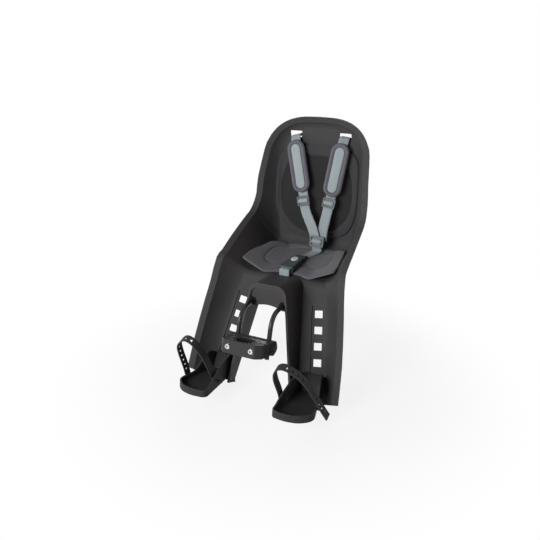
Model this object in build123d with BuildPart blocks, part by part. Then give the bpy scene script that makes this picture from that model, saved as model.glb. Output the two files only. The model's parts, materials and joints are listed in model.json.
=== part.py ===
"""Front child seat for a bicycle.

A one-piece moulded bucket with two legs, foam pads, a webbing harness and two footrests rides on a bent
steel fork. The fork stands in a two-part clamp on the bicycle's head tube.

Frame: millimetres, +Z up, the child faces -Y and the child's left is +X. The origin is the middle of the
clamp's bore.
"""
import os
from math import atan2, cos, degrees, hypot, radians, sin, tan

from build123d import *

os.makedirs("parts", exist_ok=True)

# Moulded bucket, seen from the side: y and z of the middle of its wall
WALL = 4.0
BACK_TOP = Vector(414, 430)
HEEL = Vector(391, 93)
KNEE = Vector(202, 78)
LEG_FOOT = Vector(95, -157)
HEEL_RADIUS = 40.0
KNEE_RADIUS = 16.0

# Rounded top of the back, seen from the front
TOP_CENTRE = 288.0
TOP_HALF_WIDTH = 98.0
TOP_RISE = 106.0
TOP_SQUARENESS = 3.1
TOP_FLARE = (16.0, 27.5)
TOP_DEPTH = (17.0, 52.0)

# Side wall and rim
RIM_FLARE = 24.0
RIM_OUT = 11.0
RIM_IN = 3.0
RIM_SINK = 6.6
RIM_THICKNESS = 6.0
RIM_DROP = 1.6
WALL_ROOT = 10.0
WALL_SOFTNESS = 0.64
FLOOR_OVERLAP = 1.5
STEPS_BETWEEN = 2
TOP_STEPS = 8
TOP_TURN = 74.0

# Legs, their hole rows and the tunnel between them
LEG_SPLAY = 0.172
HOLE_ROW_X = 95.0
HOLE_ROW_Z = 18.0
HOLE_PITCH = 36.0
HOLE_COUNT = 5
HOLE_WIDTH = 19.0
HOLE_HEIGHT = 16.5
PANEL_WIDTH = 30.0
PANEL_DEPTH = 3.0
PANEL_TOP = 20.0
PANEL_BACKING = 4.0
TUNNEL_HALF_WIDTH = 51.0
TUNNEL_HALF_WIDTH_Z = 33.0
TUNNEL_DRAFT = 0.05
TUNNEL_WALL = 5.0
TUNNEL_ROOF = 9.0
TUNNEL_ROUND = 24.0
TUNNEL_FRONT = (Vector(110, 96), Vector(101, 33), Vector(63, -142))
TUNNEL_TOP_FALL = 0.13
APRON_EDGE = 20.0
APRON_FRONT = 111.0
APRON_ARCH = 48.0
APRON_CORNER = Vector(27, 43)
APRON_FOOT = 40.0
LEG_CUT_AT = Vector(150, 95, -155.4)
LEG_CUT_RISE = (0.208, -0.647)

# Slots for the harness
SLOT_X = 63.0
SLOT_Z = 377.0
SLOT_WIDTH = 30.0
SLOT_HEIGHT = 15.0
CROTCH_X = -3.0
CROTCH_Y = 206.5
CROTCH_SLOT = 8.0

# Pads
PAD_THICKNESS = 8.0
PAD_GAP = 0.3
BACK_PAD_HALF_WIDTH = 93.0
BACK_PAD_TOP = 352.0
BACK_PAD_BOTTOM = 130.0
BACK_PAD_ROUND = 62.0
BACK_PAD_FLARE = 25.0
SEAT_PAD_FLAT = 56.0
SEAT_PAD_HALF_WIDTH = 105.0
SEAT_PAD_WING = 26.0
SEAT_PAD_REAR = 358.0
SEAT_PAD_FRONT = 209.0
SEAT_PAD_SCALLOP = 9.0
SEAT_PAD_SQUARE = 0.52
GROOVE_WIDTH = 2.4
GROOVE_DEPTH = 1.2
GROOVE_INSET = 14.0

# Clamp on the head tube, in a frame that leans back with the tube
HEAD_LEAN = 16.0
TUBE_RADIUS = 17.0
LINER = 3.0
LINER_HALF_ANGLE = 74.0
BLOCK_HEIGHT = 28.0
BLOCK_GAP = 3.0
BLOCK_HALF_WIDTH = 47.0
BLOCK_ROUND = 4.0
PLATE_DEPTH = 27.0
PLATE_FACE_HALF_WIDTH = 35.0
BARREL_RADIUS = 16.0
BARREL_HALF_WIDTH = 50.0
BOLT_X = 26.0
BOLT_RADIUS = 3.0
BOLT_HEAD_RADIUS = 5.0
BOLT_HEAD_HEIGHT = 6.0
BOLT_SOCKET = 5.0
BOLT_SOCKET_DEPTH = 3.5
WASHER_RADIUS = 6.2
WASHER_THICKNESS = 1.2
HEAD_RECESS = 6.0
NUT_FLATS = 10.0
NUT_THICKNESS = 5.0
NUT_SEAT = 24.0
FIT = 0.05

# Release buttons in the ends of the clamp
RELEASE_RADIUS = 10.0
RELEASE_PROUD = 3.0
RELEASE_TRAVEL = 3.0
RELEASE_LENGTH = 7.5
RELEASE_CROWN = 2.5
RELEASE_GAP = 0.3
RELEASE_WELL = RELEASE_LENGTH - RELEASE_PROUD + RELEASE_TRAVEL + 5 * RELEASE_GAP
SPRING_RADIUS = 5.0
SPRING_WIRE = 0.5
SPRING_TURNS = 3
SPRING_GAP = 0.2

# Steel fork and what holds it
BAR_RADIUS = 5.0
BAR_X = 36.0
BAR_BACK = 38.0
BAR_TIP = 26.0
BAR_LEVEL = 53.5
BAR_REAR = 318.0
BAR_BEND = 36.0
BAR_REAR_BEND = 30.0
SLEEVE_RADIUS = 8.0
SLEEVE_FRONT = 106.0
SLEEVE_REAR = 204.0
SADDLE_LENGTH = 60.0
SADDLE_FROM_REAR = 36.0
SADDLE_HALF_WIDTH = 50.0
SADDLE_FLOOR = 4.0
SCREW_RADIUS = 2.5
SCREW_HEAD_RADIUS = 5.0
SCREW_HEAD_HEIGHT = 3.0
SCREW_SPACING = 36.0

# Footrests
FOOT_BOTTOM = -138.0
FOOT_FLOOR = 5.0
FOOT_WALL = 3.5
FOOT_RIM = -123.0
FOOT_CREST = -87.0
FOOT_INNER_EDGE = ((-36, FOOT_RIM), (-3, -111), (22, -101), (48, -93), (86, FOOT_CREST))
FOOT_OUTER_EDGE = ((22, FOOT_RIM), (54, -107), (86, FOOT_CREST))
FOOT_CREST_FALL = 22.0
FOOT_MIDDLE = 112.0
FOOT_TILT = 6.7
FOOT_HINGE = (0, 95, -138)
FOOT_CLEAR = 1.6
FOOT_PLAN = (
    Vector(87, 130), Vector(75, -38), Vector(108, -42), Vector(136, -36), Vector(160, -12), Vector(136, 95),
    Vector(133, 130),
)
FOOT_ROUNDS = (12.0, 60.0, 45.0, 30.0, 5.0)
FOOT_FRONT = -44.0
FOOT_OUTER = 165.0
FOOT_BACK = 6.0
CLIP_GAP = 0.4
CLIP_TOP = -133.0
CLIP_BOTTOM = -177.0

# Foot straps: each strap's middle in its own leaning plane, from its inner end to its outer end
STRAP_BAND = 18.0
STRAP_THICK = 2.6
STRAP_Y = 24.0
STRAP_LEAN = 15.0
STRAP_HOLE = 5.0
STRAP_HOLE_PITCH = 13.0
STRAP_HOLE_COUNT = 10
STRAP_PLAIN_HOLES = 2
STRAP_PATHS = {
    "left": ((73, -6), (73, 8), (72, 24), (68, 45), (65.5, 67), (69.5, 85), (79.5, 96), (92, 98.5), (106, 92.5),
             (118, 85.5), (129.5, 74), (140.5, 58), (149.5, 38), (158, 19), (167, 0), (176, -17)),
    "right": ((-85.8, -1), (-86.2, 10), (-88.5, 24), (-95.5, 52), (-103, 78.5), (-114.5, 98.5), (-125.5, 110.5),
              (-137, 114), (-149, 107), (-159.5, 92), (-161.5, 74), (-159.8, 51), (-158, 33), (-157.2, 12),
              (-157.2, -6)),
}
STUD_RADIUS = 2.6
STUD_HEAD_RADIUS = 4.0
STUD_HEAD = 1.6
STUD_Z = -119.5
STUD_INNER_Z = -115.0
STUD_INNER_X = 71.0
STUD_OUTER_X = {"left": 170.5, "right": 159.2}
STUD_LENGTH = 16.0
STUD_OUTER_END = 151.0

# Harness webbing and its hardware
WEB = 25.0
WEB_THICK = 1.6
WEB_BEND = 5.0
SLOT_PASS = 2.0
SHOULDER_LEAN = {"left": 7.0, "right": 15.0}
SHOULDER_RISE = 10.0
SHOULDER_START = Vector(20, 15)
SHOULDER_END = 176.0
SHOULDER_PAD_AT = 78.0
SHOULDER_PAD_WIDTH = 44.0
SHOULDER_PAD_LENGTH = 128.0
SHOULDER_PAD_THICK = 7.0
SHOULDER_PAD_ROUND = 21.0
SHOULDER_PAD_EDGE = 2.4
PATCH_WIDTH = 21.0
PATCH_LENGTH = 106.0
PATCH_THICK = 1.2
PATCH_ROUND = 10.0
GLIDE_AT = {"left": 158.0, "right": 163.0}
GLIDE_WIDTH = 32.0
GLIDE_HEIGHT = 24.0
GLIDE_THICK = 4.0
GLIDE_RAIL = 4.0
GLIDE_LIFT = 4.5
LOWER_LIFT = 2.6
LOWER_HEAD = 9.0
LOWER_ENDS = {"left": Vector(35, 349, 131), "right": Vector(19, 343.6, 131)}
LOWER_BEND = 20.0
SLIDER_PLACE = Vector(26, 338.2, 131)
SLIDER_LEAN = 13.5
SLIDER_WIDTH = 36.0
SLIDER_HEIGHT = 26.0
SLIDER_THICK = 5.0
ANCHOR_LENGTH = 42.0
ANCHOR_DEPTH = 9.0
ANCHOR_HEIGHT = 5.0
ANCHOR_GAP = 0.3

# Buckle, lying on the seat pad, with its button and the straps at its ends
BUCKLE_PLACE = Vector(-3.4, 213)
BUCKLE_TURN = 5.4
BUCKLE_LIFT = 8.6
BUCKLE_LENGTH = 63.0
BUCKLE_WIDTH = (36.0, 28.0)
BUCKLE_THICK = 14.0
BUCKLE_ROUND = 6.0
BUCKLE_EDGE = 2.0
BUCKLE_NOTCH = 2.6
BUCKLE_NOTCHES = (15.0, 27.0, 39.0)
TONGUE_LENGTH = 22.0
TONGUE_WIDTH = 26.0
TONGUE_THICK = 7.0
TONGUE_LIFT = 2.5
TONGUE_GAP = 0.3
BLADE_WIDTH = 18.0
BLADE_THICK = 2.4
BLADE_LENGTH = 20.0
BUTTON_AT = 48.0
BUTTON_WIDTH = 17.0
BUTTON_LENGTH = 20.0
BUTTON_PROUD = 2.0
BUTTON_DEPTH = 4.2
BUTTON_TRAVEL = 2.5
BUTTON_WELL = BUTTON_DEPTH - BUTTON_PROUD + 2 * BUTTON_TRAVEL
BUTTON_GAP = 0.3
BUTTON_EDGE = 1.0
BUTTON_SPRING_RADIUS = 4.0
BUTTON_SPRING_WIRE = 0.4
TONGUE_STRAP_TOP = Vector(23.6, 348.8, 127)
TONGUE_STRAP_FALL = 102.0
TONGUE_STRAP_UNDER = 8.0
CROTCH_STRAP_FOOT = 60.0
CROTCH_STRAP_TOP = 96.5
CROTCH_STRAP_IN = 11.0
CROTCH_POCKET = 9.0

SIDES = (("left", 1), ("right", -1))
HALF_WALL = WALL / 2


def on_line(start: Vector, end: Vector, z: float) -> float:
    """Give y at height z on the straight line through two side-view points."""
    return start.X + (end.X - start.X) * (z - start.Y) / (end.Y - start.Y)


def rounded_corner(before: Vector, corner: Vector, after: Vector, radius: float) -> Vector:
    """Give the middle of the arc that rounds a corner of the side view."""
    towards = (before - corner).normalized() + (after - corner).normalized()
    half = radians((before - corner).get_angle(after - corner) / 2)
    return corner + towards.normalized() * radius * (1 / sin(half) - 1)


def back_y(z: float) -> float:
    """Give y of the middle of the back's wall at height z."""
    return on_line(BACK_TOP, HEEL, z)


def pan_z(y: float) -> float:
    """Give z of the middle of the pan's wall at depth y."""
    return HEEL.Y + (KNEE.Y - HEEL.Y) * (y - HEEL.X) / (KNEE.X - HEEL.X)


def leg_y(z: float) -> float:
    """Give y of the middle of the leg plates at height z."""
    return on_line(KNEE, LEG_FOOT, z)


PAN_TILT = degrees(atan2(HEEL.Y - KNEE.Y, HEEL.X - KNEE.X))
LEG_LEAN = degrees(atan2(KNEE.X - LEG_FOOT.X, KNEE.Y - LEG_FOOT.Y))
BACK_LEAN = degrees(atan2(BACK_TOP.X - HEEL.X, BACK_TOP.Y - HEEL.Y))
HEEL_MID = rounded_corner(BACK_TOP, HEEL, KNEE, HEEL_RADIUS)
KNEE_MID = rounded_corner(HEEL, KNEE, LEG_FOOT, KNEE_RADIUS)

LEG_DOWN = Vector(LEG_SPLAY * cos(radians(LEG_LEAN)), -sin(radians(LEG_LEAN)), -cos(radians(LEG_LEAN)))
LEG_NORMAL = Vector(0, -cos(radians(LEG_LEAN)), sin(radians(LEG_LEAN)))
LEG_UP = LEG_DOWN.normalized() * -1
LEG_ACROSS = LEG_UP.cross(LEG_NORMAL)

SADDLE_Y = BAR_REAR - SADDLE_FROM_REAR - SADDLE_LENGTH / 2
SCREW_PLACES = [(0, SADDLE_Y - SCREW_SPACING / 2), (0, SADDLE_Y + SCREW_SPACING / 2)]

TUBE_AXIS = Vector(0, sin(radians(HEAD_LEAN)), cos(radians(HEAD_LEAN)))
clamp_frame = Plane(origin=(0, 0, 0), x_dir=(1, 0, 0), z_dir=TUBE_AXIS)
leg_frame = Plane(
    origin=(HOLE_ROW_X, leg_y(HOLE_ROW_Z), HOLE_ROW_Z), x_dir=LEG_ACROSS, z_dir=LEG_NORMAL
).offset(HALF_WALL)
leg_frames = {
    1: leg_frame,
    -1: Plane(
        origin=(-leg_frame.origin.X, leg_frame.origin.Y, leg_frame.origin.Z),
        x_dir=(LEG_ACROSS.X, -LEG_ACROSS.Y, -LEG_ACROSS.Z),
        z_dir=LEG_NORMAL,
    ),
}
back_frame = Plane(
    origin=(0, back_y(TOP_CENTRE), TOP_CENTRE),
    x_dir=(1, 0, 0),
    z_dir=(0, -cos(radians(BACK_LEAN)), sin(radians(BACK_LEAN))),
).offset(HALF_WALL)
pan_frame = Plane(
    origin=(0, SEAT_PAD_FRONT, pan_z(SEAT_PAD_FRONT)),
    x_dir=(1, 0, 0),
    z_dir=(0, -sin(radians(PAN_TILT)), cos(radians(PAN_TILT))),
).offset(HALF_WALL)


def wall_stations() -> list:
    """List the places of the side wall, from the top of the back to the foot of the leg.

    Each place is (foot on the floor's middle, direction outwards, direction forwards, flare, depth).
    """
    places = []
    for step in range(TOP_STEPS):
        turn = radians(TOP_TURN) * step / (TOP_STEPS - 1)
        across = sin(turn) ** (2 / TOP_SQUARENESS)
        along = cos(turn) ** (2 / TOP_SQUARENESS)
        z = TOP_CENTRE + TOP_RISE * along
        foot = Vector(TOP_HALF_WIDTH * across, back_y(z), z)
        outwards = Vector(
            across ** (TOP_SQUARENESS - 1) / TOP_HALF_WIDTH, 0, along ** (TOP_SQUARENESS - 1) / TOP_RISE
        ).normalized()
        flare = TOP_FLARE[0] + (TOP_FLARE[1] - TOP_FLARE[0]) * sin(turn) ** 2
        depth = TOP_DEPTH[0] + (TOP_DEPTH[1] - TOP_DEPTH[0]) * (1 - along)
        places.append((foot, outwards, Vector(0, -1, 0), flare, depth))
    # half width, side-view place, rise of the wall in degrees, flare, depth
    rows = (
        (101, Vector(back_y(268), 268), 9, 28, 54),
        (103, Vector(back_y(205), 205), 30, 29, 61),
        (102, Vector(back_y(146), 146), 50, 32, 90),
        (100, HEEL_MID, 54, 36, 114),
        (95, Vector(318, pan_z(318)), 66, 43, 100),
        (93, Vector(262, pan_z(262)), 62, 47, 81),
        (95, Vector(220, pan_z(220)), 54, 46, 66),
        (101, KNEE_MID, 46, 43, 62),
        (112, Vector(leg_y(46), 46), 26, 38, 53),
        (122, Vector(leg_y(5), 5), LEG_LEAN, 35, 50),
        (134, Vector(leg_y(-75), -75), LEG_LEAN, 34, 45),
        (143, Vector(leg_y(LEG_FOOT.Y), LEG_FOOT.Y), LEG_LEAN, 31, 42),
    )
    for half_width, side, rise, flare, depth in rows:
        forwards = Vector(0, -cos(radians(rise)), sin(radians(rise)))
        places.append((Vector(half_width, side.X, side.Y), Vector(1, 0, 0), forwards, flare, depth))
    return places


def smooth(values: list, steps: int) -> list:
    """Pass a smooth curve through numbers or vectors and read it at a few steps between them."""
    ends = [values[0] * 2 - values[1]] + list(values) + [values[-1] * 2 - values[-2]]
    curve = []
    for before, start, end, after in zip(ends, ends[1:], ends[2:], ends[3:]):
        for step in range(steps):
            t = step / steps
            bend = before * (-t + 2 * t**2 - t**3) + after * (t**3 - t**2)
            curve.append((bend + start * (2 - 5 * t**2 + 3 * t**3) + end * (t + 4 * t**2 - 3 * t**3)) * 0.5)
    return curve + [values[-1]]


def wall_section(foot: Vector, outwards: Vector, forwards: Vector, flare: float, depth: float) -> Sketch:
    """Draw the side wall's section: a soft corner, the flared wall and the rim's lip."""
    corner_x = max(flare - (depth - HALF_WALL) * tan(radians(RIM_FLARE)), 0.2 * flare)
    corner = Vector(corner_x, HALF_WALL)
    rim = Vector(flare - RIM_IN, depth - RIM_SINK)
    slope = (rim - corner).normalized()
    away = Vector(slope.Y, -slope.X)
    outer_corner = Vector(corner_x + WALL * (1 - slope.X) / slope.Y, -HALF_WALL)
    root_in = Vector(-WALL_ROOT, 0.2 * HALF_WALL)
    root_out = Vector(-WALL_ROOT, -0.2 * HALF_WALL)
    lip = Vector(flare + RIM_OUT, depth - RIM_DROP)
    lip_back = lip - Vector(0, RIM_THICKNESS)
    lip_foot = rim + away * WALL - slope * RIM_THICKNESS
    soft = WALL_SOFTNESS
    with BuildSketch(Plane(origin=foot, x_dir=outwards, z_dir=outwards.cross(forwards))) as outline:
        with BuildLine():
            Bezier(root_in, root_in + (corner - root_in) * soft, rim + (corner - rim) * soft, rim)
            Polyline(rim, lip, lip_back, lip_foot)
            Bezier(
                lip_foot,
                lip_foot + (outer_corner - lip_foot) * soft,
                root_out + (outer_corner - root_out) * soft,
                root_out,
            )
            Line(root_out, root_in)
        make_face()
    return outline.sketch


def tunnel_half_width(y: float, z: float) -> float:
    """Give the half width of the tunnel's outside at depth y and height z."""
    return TUNNEL_HALF_WIDTH + (y - TUNNEL_FRONT[1].X) * TUNNEL_DRAFT + (TUNNEL_HALF_WIDTH_Z - z) * LEG_SPLAY


def tunnel_outline(y: float, inset: float, roof: float) -> Sketch:
    """Draw the front view of the tunnel between the legs at depth y, inset by a wall."""
    top = TUNNEL_FRONT[0].Y - (y - TUNNEL_FRONT[0].X) * TUNNEL_TOP_FALL - roof
    bottom = LEG_FOOT.Y - WALL_ROOT
    half_top = tunnel_half_width(y, top) - inset
    half_bottom = tunnel_half_width(y, bottom) - inset
    with BuildSketch(Plane.XZ.offset(-y)) as outline:
        with BuildLine():
            Polyline(
                (half_bottom, bottom), (half_top, top), (-half_top, top), (-half_bottom, bottom), close=True
            )
        make_face()
        fillet(outline.vertices().group_by(Axis.Z)[-1], TUNNEL_ROUND - inset)
    return outline.sketch


def finish(piece: BuildPart, name: str) -> None:
    """Label a finished piece and write it to its own file."""
    piece.part.label = name
    export_step(piece.part, f"parts/{name}.step")


# Seat shell: the side wall, made once and mirrored
stations = wall_stations()
columns = [smooth(list(column), STEPS_BETWEEN) for column in zip(*stations)]
sections = [
    wall_section(foot, outwards.normalized(), forwards.normalized(), flare, depth)
    for foot, outwards, forwards, flare, depth in zip(*columns)
]
with BuildPart() as side_wall:
    loft(sections, ruled=True)

# Seat shell: the arch between the legs, with its thick front edge
tunnel_near = TUNNEL_FRONT[2].X - WALL_ROOT
tunnel_far = KNEE.X + KNEE_RADIUS
with BuildPart() as tunnel:
    loft([tunnel_outline(tunnel_near, 0, 0), tunnel_outline(tunnel_far, 0, 0)], ruled=True)
    with BuildSketch(Plane.YZ):
        with BuildLine():
            Polyline(
                TUNNEL_FRONT[0] + Vector(0, 2 * WALL_ROOT),
                *TUNNEL_FRONT,
                LEG_FOOT,
                KNEE,
                Vector(KNEE.X, TUNNEL_FRONT[0].Y + 2 * WALL_ROOT),
                close=True,
            )
        make_face()
    extrude(amount=BLOCK_HEIGHT * 5, both=True, mode=Mode.INTERSECT)
    loft(
        [
            tunnel_outline(tunnel_near, TUNNEL_WALL, TUNNEL_ROOF),
            tunnel_outline(tunnel_far, TUNNEL_WALL, TUNNEL_ROOF),
        ],
        ruled=True,
        mode=Mode.SUBTRACT,
    )

# Seat shell: the apron that closes the top of the arch, behind its front edge
with BuildPart() as apron:
    loft(
        [tunnel_outline(tunnel_near, HALF_WALL, HALF_WALL), tunnel_outline(tunnel_far, HALF_WALL, HALF_WALL)],
        ruled=True,
    )
    with BuildSketch(Plane.XZ.offset(-APRON_FRONT)):
        with BuildLine():
            arch = ThreePointArc(
                (-APRON_CORNER.X, APRON_CORNER.Y), (0, APRON_ARCH), (APRON_CORNER.X, APRON_CORNER.Y)
            )
            Polyline(
                arch @ 1,
                (APRON_CORNER.X, APRON_FOOT),
                (2 * TUNNEL_HALF_WIDTH, APRON_FOOT),
                (2 * TUNNEL_HALF_WIDTH, 2 * TUNNEL_FRONT[0].Y),
                (-2 * TUNNEL_HALF_WIDTH, 2 * TUNNEL_FRONT[0].Y),
                (-2 * TUNNEL_HALF_WIDTH, APRON_FOOT),
                (-APRON_CORNER.X, APRON_FOOT),
                arch @ 0,
            )
        make_face()
    extrude(amount=-WALL, mode=Mode.INTERSECT)

with BuildPart() as seat_shell:
    # back, pan and leg plates: one bent sheet, cut to the walls' feet
    with BuildSketch(Plane.YZ):
        with BuildLine():
            FilletPolyline(BACK_TOP, HEEL, KNEE, LEG_FOOT, radius=(HEEL_RADIUS, KNEE_RADIUS))
        trace(line_width=WALL)
    extrude(amount=2 * TOP_HALF_WIDTH, both=True)
    with BuildSketch(Plane.XZ):
        with BuildLine():
            edge = [foot + outwards * FLOOR_OVERLAP for foot, outwards in zip(columns[0], columns[1])]
            Polyline(*[(point.X, point.Z) for point in edge], (0, edge[-1].Z), (0, edge[0].Z), close=True)
        make_face()
        mirror(about=Plane.YZ)
    extrude(amount=2 * BACK_TOP.X, both=True, mode=Mode.INTERSECT)
    # the open space between the legs, below the apron
    with BuildSketch(Plane.XZ):
        with BuildLine():
            gap_top = tunnel_half_width(leg_y(APRON_EDGE), APRON_EDGE) - TUNNEL_WALL
            gap_foot = tunnel_half_width(LEG_FOOT.X, LEG_FOOT.Y - WALL) - TUNNEL_WALL
            Polyline(
                (gap_foot, LEG_FOOT.Y - WALL),
                (gap_top, APRON_EDGE),
                (-gap_top, APRON_EDGE),
                (-gap_foot, LEG_FOOT.Y - WALL),
                close=True,
            )
        make_face()
    extrude(amount=-KNEE.X, mode=Mode.SUBTRACT)
    add(side_wall.part)
    mirror(side_wall.part, about=Plane.YZ)
    add(tunnel.part)
    add(apron.part)
    # the legs' feet, cut so that the walls end higher than the plates
    for side in (1, -1):
        foot_cut = Plane(
            origin=(side * LEG_CUT_AT.X, LEG_CUT_AT.Y, LEG_CUT_AT.Z),
            x_dir=(1, 0, side * LEG_CUT_RISE[0]),
            z_dir=(-side * LEG_CUT_RISE[0], -LEG_CUT_RISE[1], 1),
        )
        with BuildSketch(foot_cut):
            Rectangle(LEG_CUT_AT.X, LEG_CUT_AT.X)
        extrude(amount=-LEG_CUT_AT.Y, mode=Mode.SUBTRACT)
    # recessed panels with their rows of square holes
    panel_length = PANEL_TOP + HOLE_COUNT * HOLE_PITCH
    panel_middle = PANEL_TOP - panel_length / 2
    for frame in leg_frames.values():
        with BuildSketch(frame.offset(-PANEL_DEPTH)):
            with Locations((0, panel_middle)):
                Rectangle(PANEL_WIDTH + 2 * WALL, panel_length + 2 * WALL)
        extrude(amount=-PANEL_BACKING)
        with BuildSketch(frame.offset(-PANEL_DEPTH)):
            with Locations((0, panel_middle)):
                Rectangle(PANEL_WIDTH, panel_length)
        extrude(amount=2 * PANEL_DEPTH, mode=Mode.SUBTRACT)
        with BuildSketch(frame):
            with Locations(*[(0, -HOLE_PITCH * row) for row in range(HOLE_COUNT)]):
                Rectangle(HOLE_WIDTH, HOLE_HEIGHT)
        extrude(amount=4 * WALL, both=True, mode=Mode.SUBTRACT)
    # slots for the shoulder straps and the crotch strap
    with BuildSketch(back_frame):
        with Locations((SLOT_X, SLOT_Z - TOP_CENTRE), (-SLOT_X, SLOT_Z - TOP_CENTRE)):
            RectangleRounded(SLOT_WIDTH, SLOT_HEIGHT, HALF_WALL)
    extrude(amount=3 * WALL, both=True, mode=Mode.SUBTRACT)
    with BuildSketch(Plane.XY.offset(KNEE.Y)):
        with Locations((CROTCH_X, CROTCH_Y)):
            RectangleRounded(SLOT_WIDTH, CROTCH_SLOT, HALF_WALL)
    extrude(amount=4 * WALL, both=True, mode=Mode.SUBTRACT)
    # seats of the fork's sleeves and holes of the saddle's screws
    with BuildSketch(Plane.XZ.offset(-SLEEVE_REAR)):
        with Locations((BAR_X, BAR_LEVEL), (-BAR_X, BAR_LEVEL)):
            Circle(SLEEVE_RADIUS + FIT)
    extrude(amount=SLEEVE_REAR - SLEEVE_FRONT + WALL, mode=Mode.SUBTRACT)
    with BuildSketch(Plane.XY.offset(pan_z(SADDLE_Y))):
        with Locations(*SCREW_PLACES):
            Circle(SCREW_RADIUS + FIT)
    extrude(amount=3 * WALL, both=True, mode=Mode.SUBTRACT)
finish(seat_shell, "seat_shell")

# Back pad: a rounded foam panel that flares out along the walls' soft corners
with BuildPart() as back_pad:
    pad_height = BACK_PAD_TOP - BACK_PAD_BOTTOM
    pad_middle = (BACK_PAD_TOP + BACK_PAD_BOTTOM) / 2 - TOP_CENTRE
    with BuildSketch(back_frame.offset(PAD_GAP)):
        with Locations((0, pad_middle)):
            RectangleRounded(2 * BACK_PAD_HALF_WIDTH, pad_height, BACK_PAD_ROUND)
    extrude(amount=PAD_THICKNESS, taper=-BACK_PAD_FLARE)
    with BuildSketch(back_frame.offset(PAD_GAP + PAD_THICKNESS)):
        with Locations((0, pad_middle)):
            RectangleRounded(
                2 * (BACK_PAD_HALF_WIDTH - GROOVE_INSET),
                pad_height - 2 * GROOVE_INSET,
                BACK_PAD_ROUND - GROOVE_INSET,
            )
            RectangleRounded(
                2 * (BACK_PAD_HALF_WIDTH - GROOVE_INSET - GROOVE_WIDTH),
                pad_height - 2 * (GROOVE_INSET + GROOVE_WIDTH),
                BACK_PAD_ROUND - GROOVE_INSET - GROOVE_WIDTH,
                mode=Mode.SUBTRACT,
            )
    extrude(amount=-GROOVE_DEPTH, mode=Mode.SUBTRACT)
finish(back_pad, "back_pad")

# Seat pad: flat in the middle, its sides turned up along the pan's dished walls
with BuildPart() as seat_pad:
    wing_rise = SEAT_PAD_WING - PAD_THICKNESS
    with BuildSketch(Plane(origin=pan_frame.origin, x_dir=pan_frame.x_dir, z_dir=pan_frame.y_dir * -1)):
        with BuildLine():
            Polyline(
                (-SEAT_PAD_HALF_WIDTH, PAD_GAP + wing_rise),
                (-SEAT_PAD_FLAT, PAD_GAP),
                (SEAT_PAD_FLAT, PAD_GAP),
                (SEAT_PAD_HALF_WIDTH, PAD_GAP + wing_rise),
                (SEAT_PAD_HALF_WIDTH, PAD_GAP + SEAT_PAD_WING),
                (SEAT_PAD_FLAT, PAD_GAP + PAD_THICKNESS),
                (-SEAT_PAD_FLAT, PAD_GAP + PAD_THICKNESS),
                (-SEAT_PAD_HALF_WIDTH, PAD_GAP + SEAT_PAD_WING),
                close=True,
            )
        make_face()
    extrude(amount=-(SEAT_PAD_REAR - SEAT_PAD_FRONT))
    with BuildSketch(pan_frame):
        pad_length = SEAT_PAD_REAR - SEAT_PAD_FRONT
        with BuildLine():
            rear_corner = SEAT_PAD_SQUARE * pad_length
            rear = ThreePointArc(
                (-SEAT_PAD_HALF_WIDTH, rear_corner), (0, pad_length), (SEAT_PAD_HALF_WIDTH, rear_corner)
            )
            Polyline(
                rear @ 1,
                (SEAT_PAD_HALF_WIDTH, 0),
                (SEAT_PAD_FLAT, 0),
                (SEAT_PAD_FLAT - 2 * SEAT_PAD_SCALLOP, SEAT_PAD_SCALLOP),
                (2 * SEAT_PAD_SCALLOP - SEAT_PAD_FLAT, SEAT_PAD_SCALLOP),
                (-SEAT_PAD_FLAT, 0),
                (-SEAT_PAD_HALF_WIDTH, 0),
                rear @ 0,
            )
        make_face()
    extrude(amount=2 * SEAT_PAD_WING, mode=Mode.INTERSECT)
    with BuildSketch(pan_frame.offset(PAD_GAP + PAD_THICKNESS)):
        with BuildLine():
            inset = SEAT_PAD_FLAT - GROOVE_WIDTH
            Polyline(
                (-inset, 0.3 * pad_length),
                (-inset, 0.6 * pad_length),
                (-0.6 * inset, 0.8 * pad_length),
                (0.6 * inset, 0.8 * pad_length),
                (inset, 0.6 * pad_length),
                (inset, 0.3 * pad_length),
                (0.6 * inset, 2 * SEAT_PAD_SCALLOP),
                (-0.6 * inset, 2 * SEAT_PAD_SCALLOP),
                close=True,
            )
        trace(line_width=GROOVE_WIDTH)
    extrude(amount=-GROOVE_DEPTH, mode=Mode.SUBTRACT)
finish(seat_pad, "seat_pad")

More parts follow.
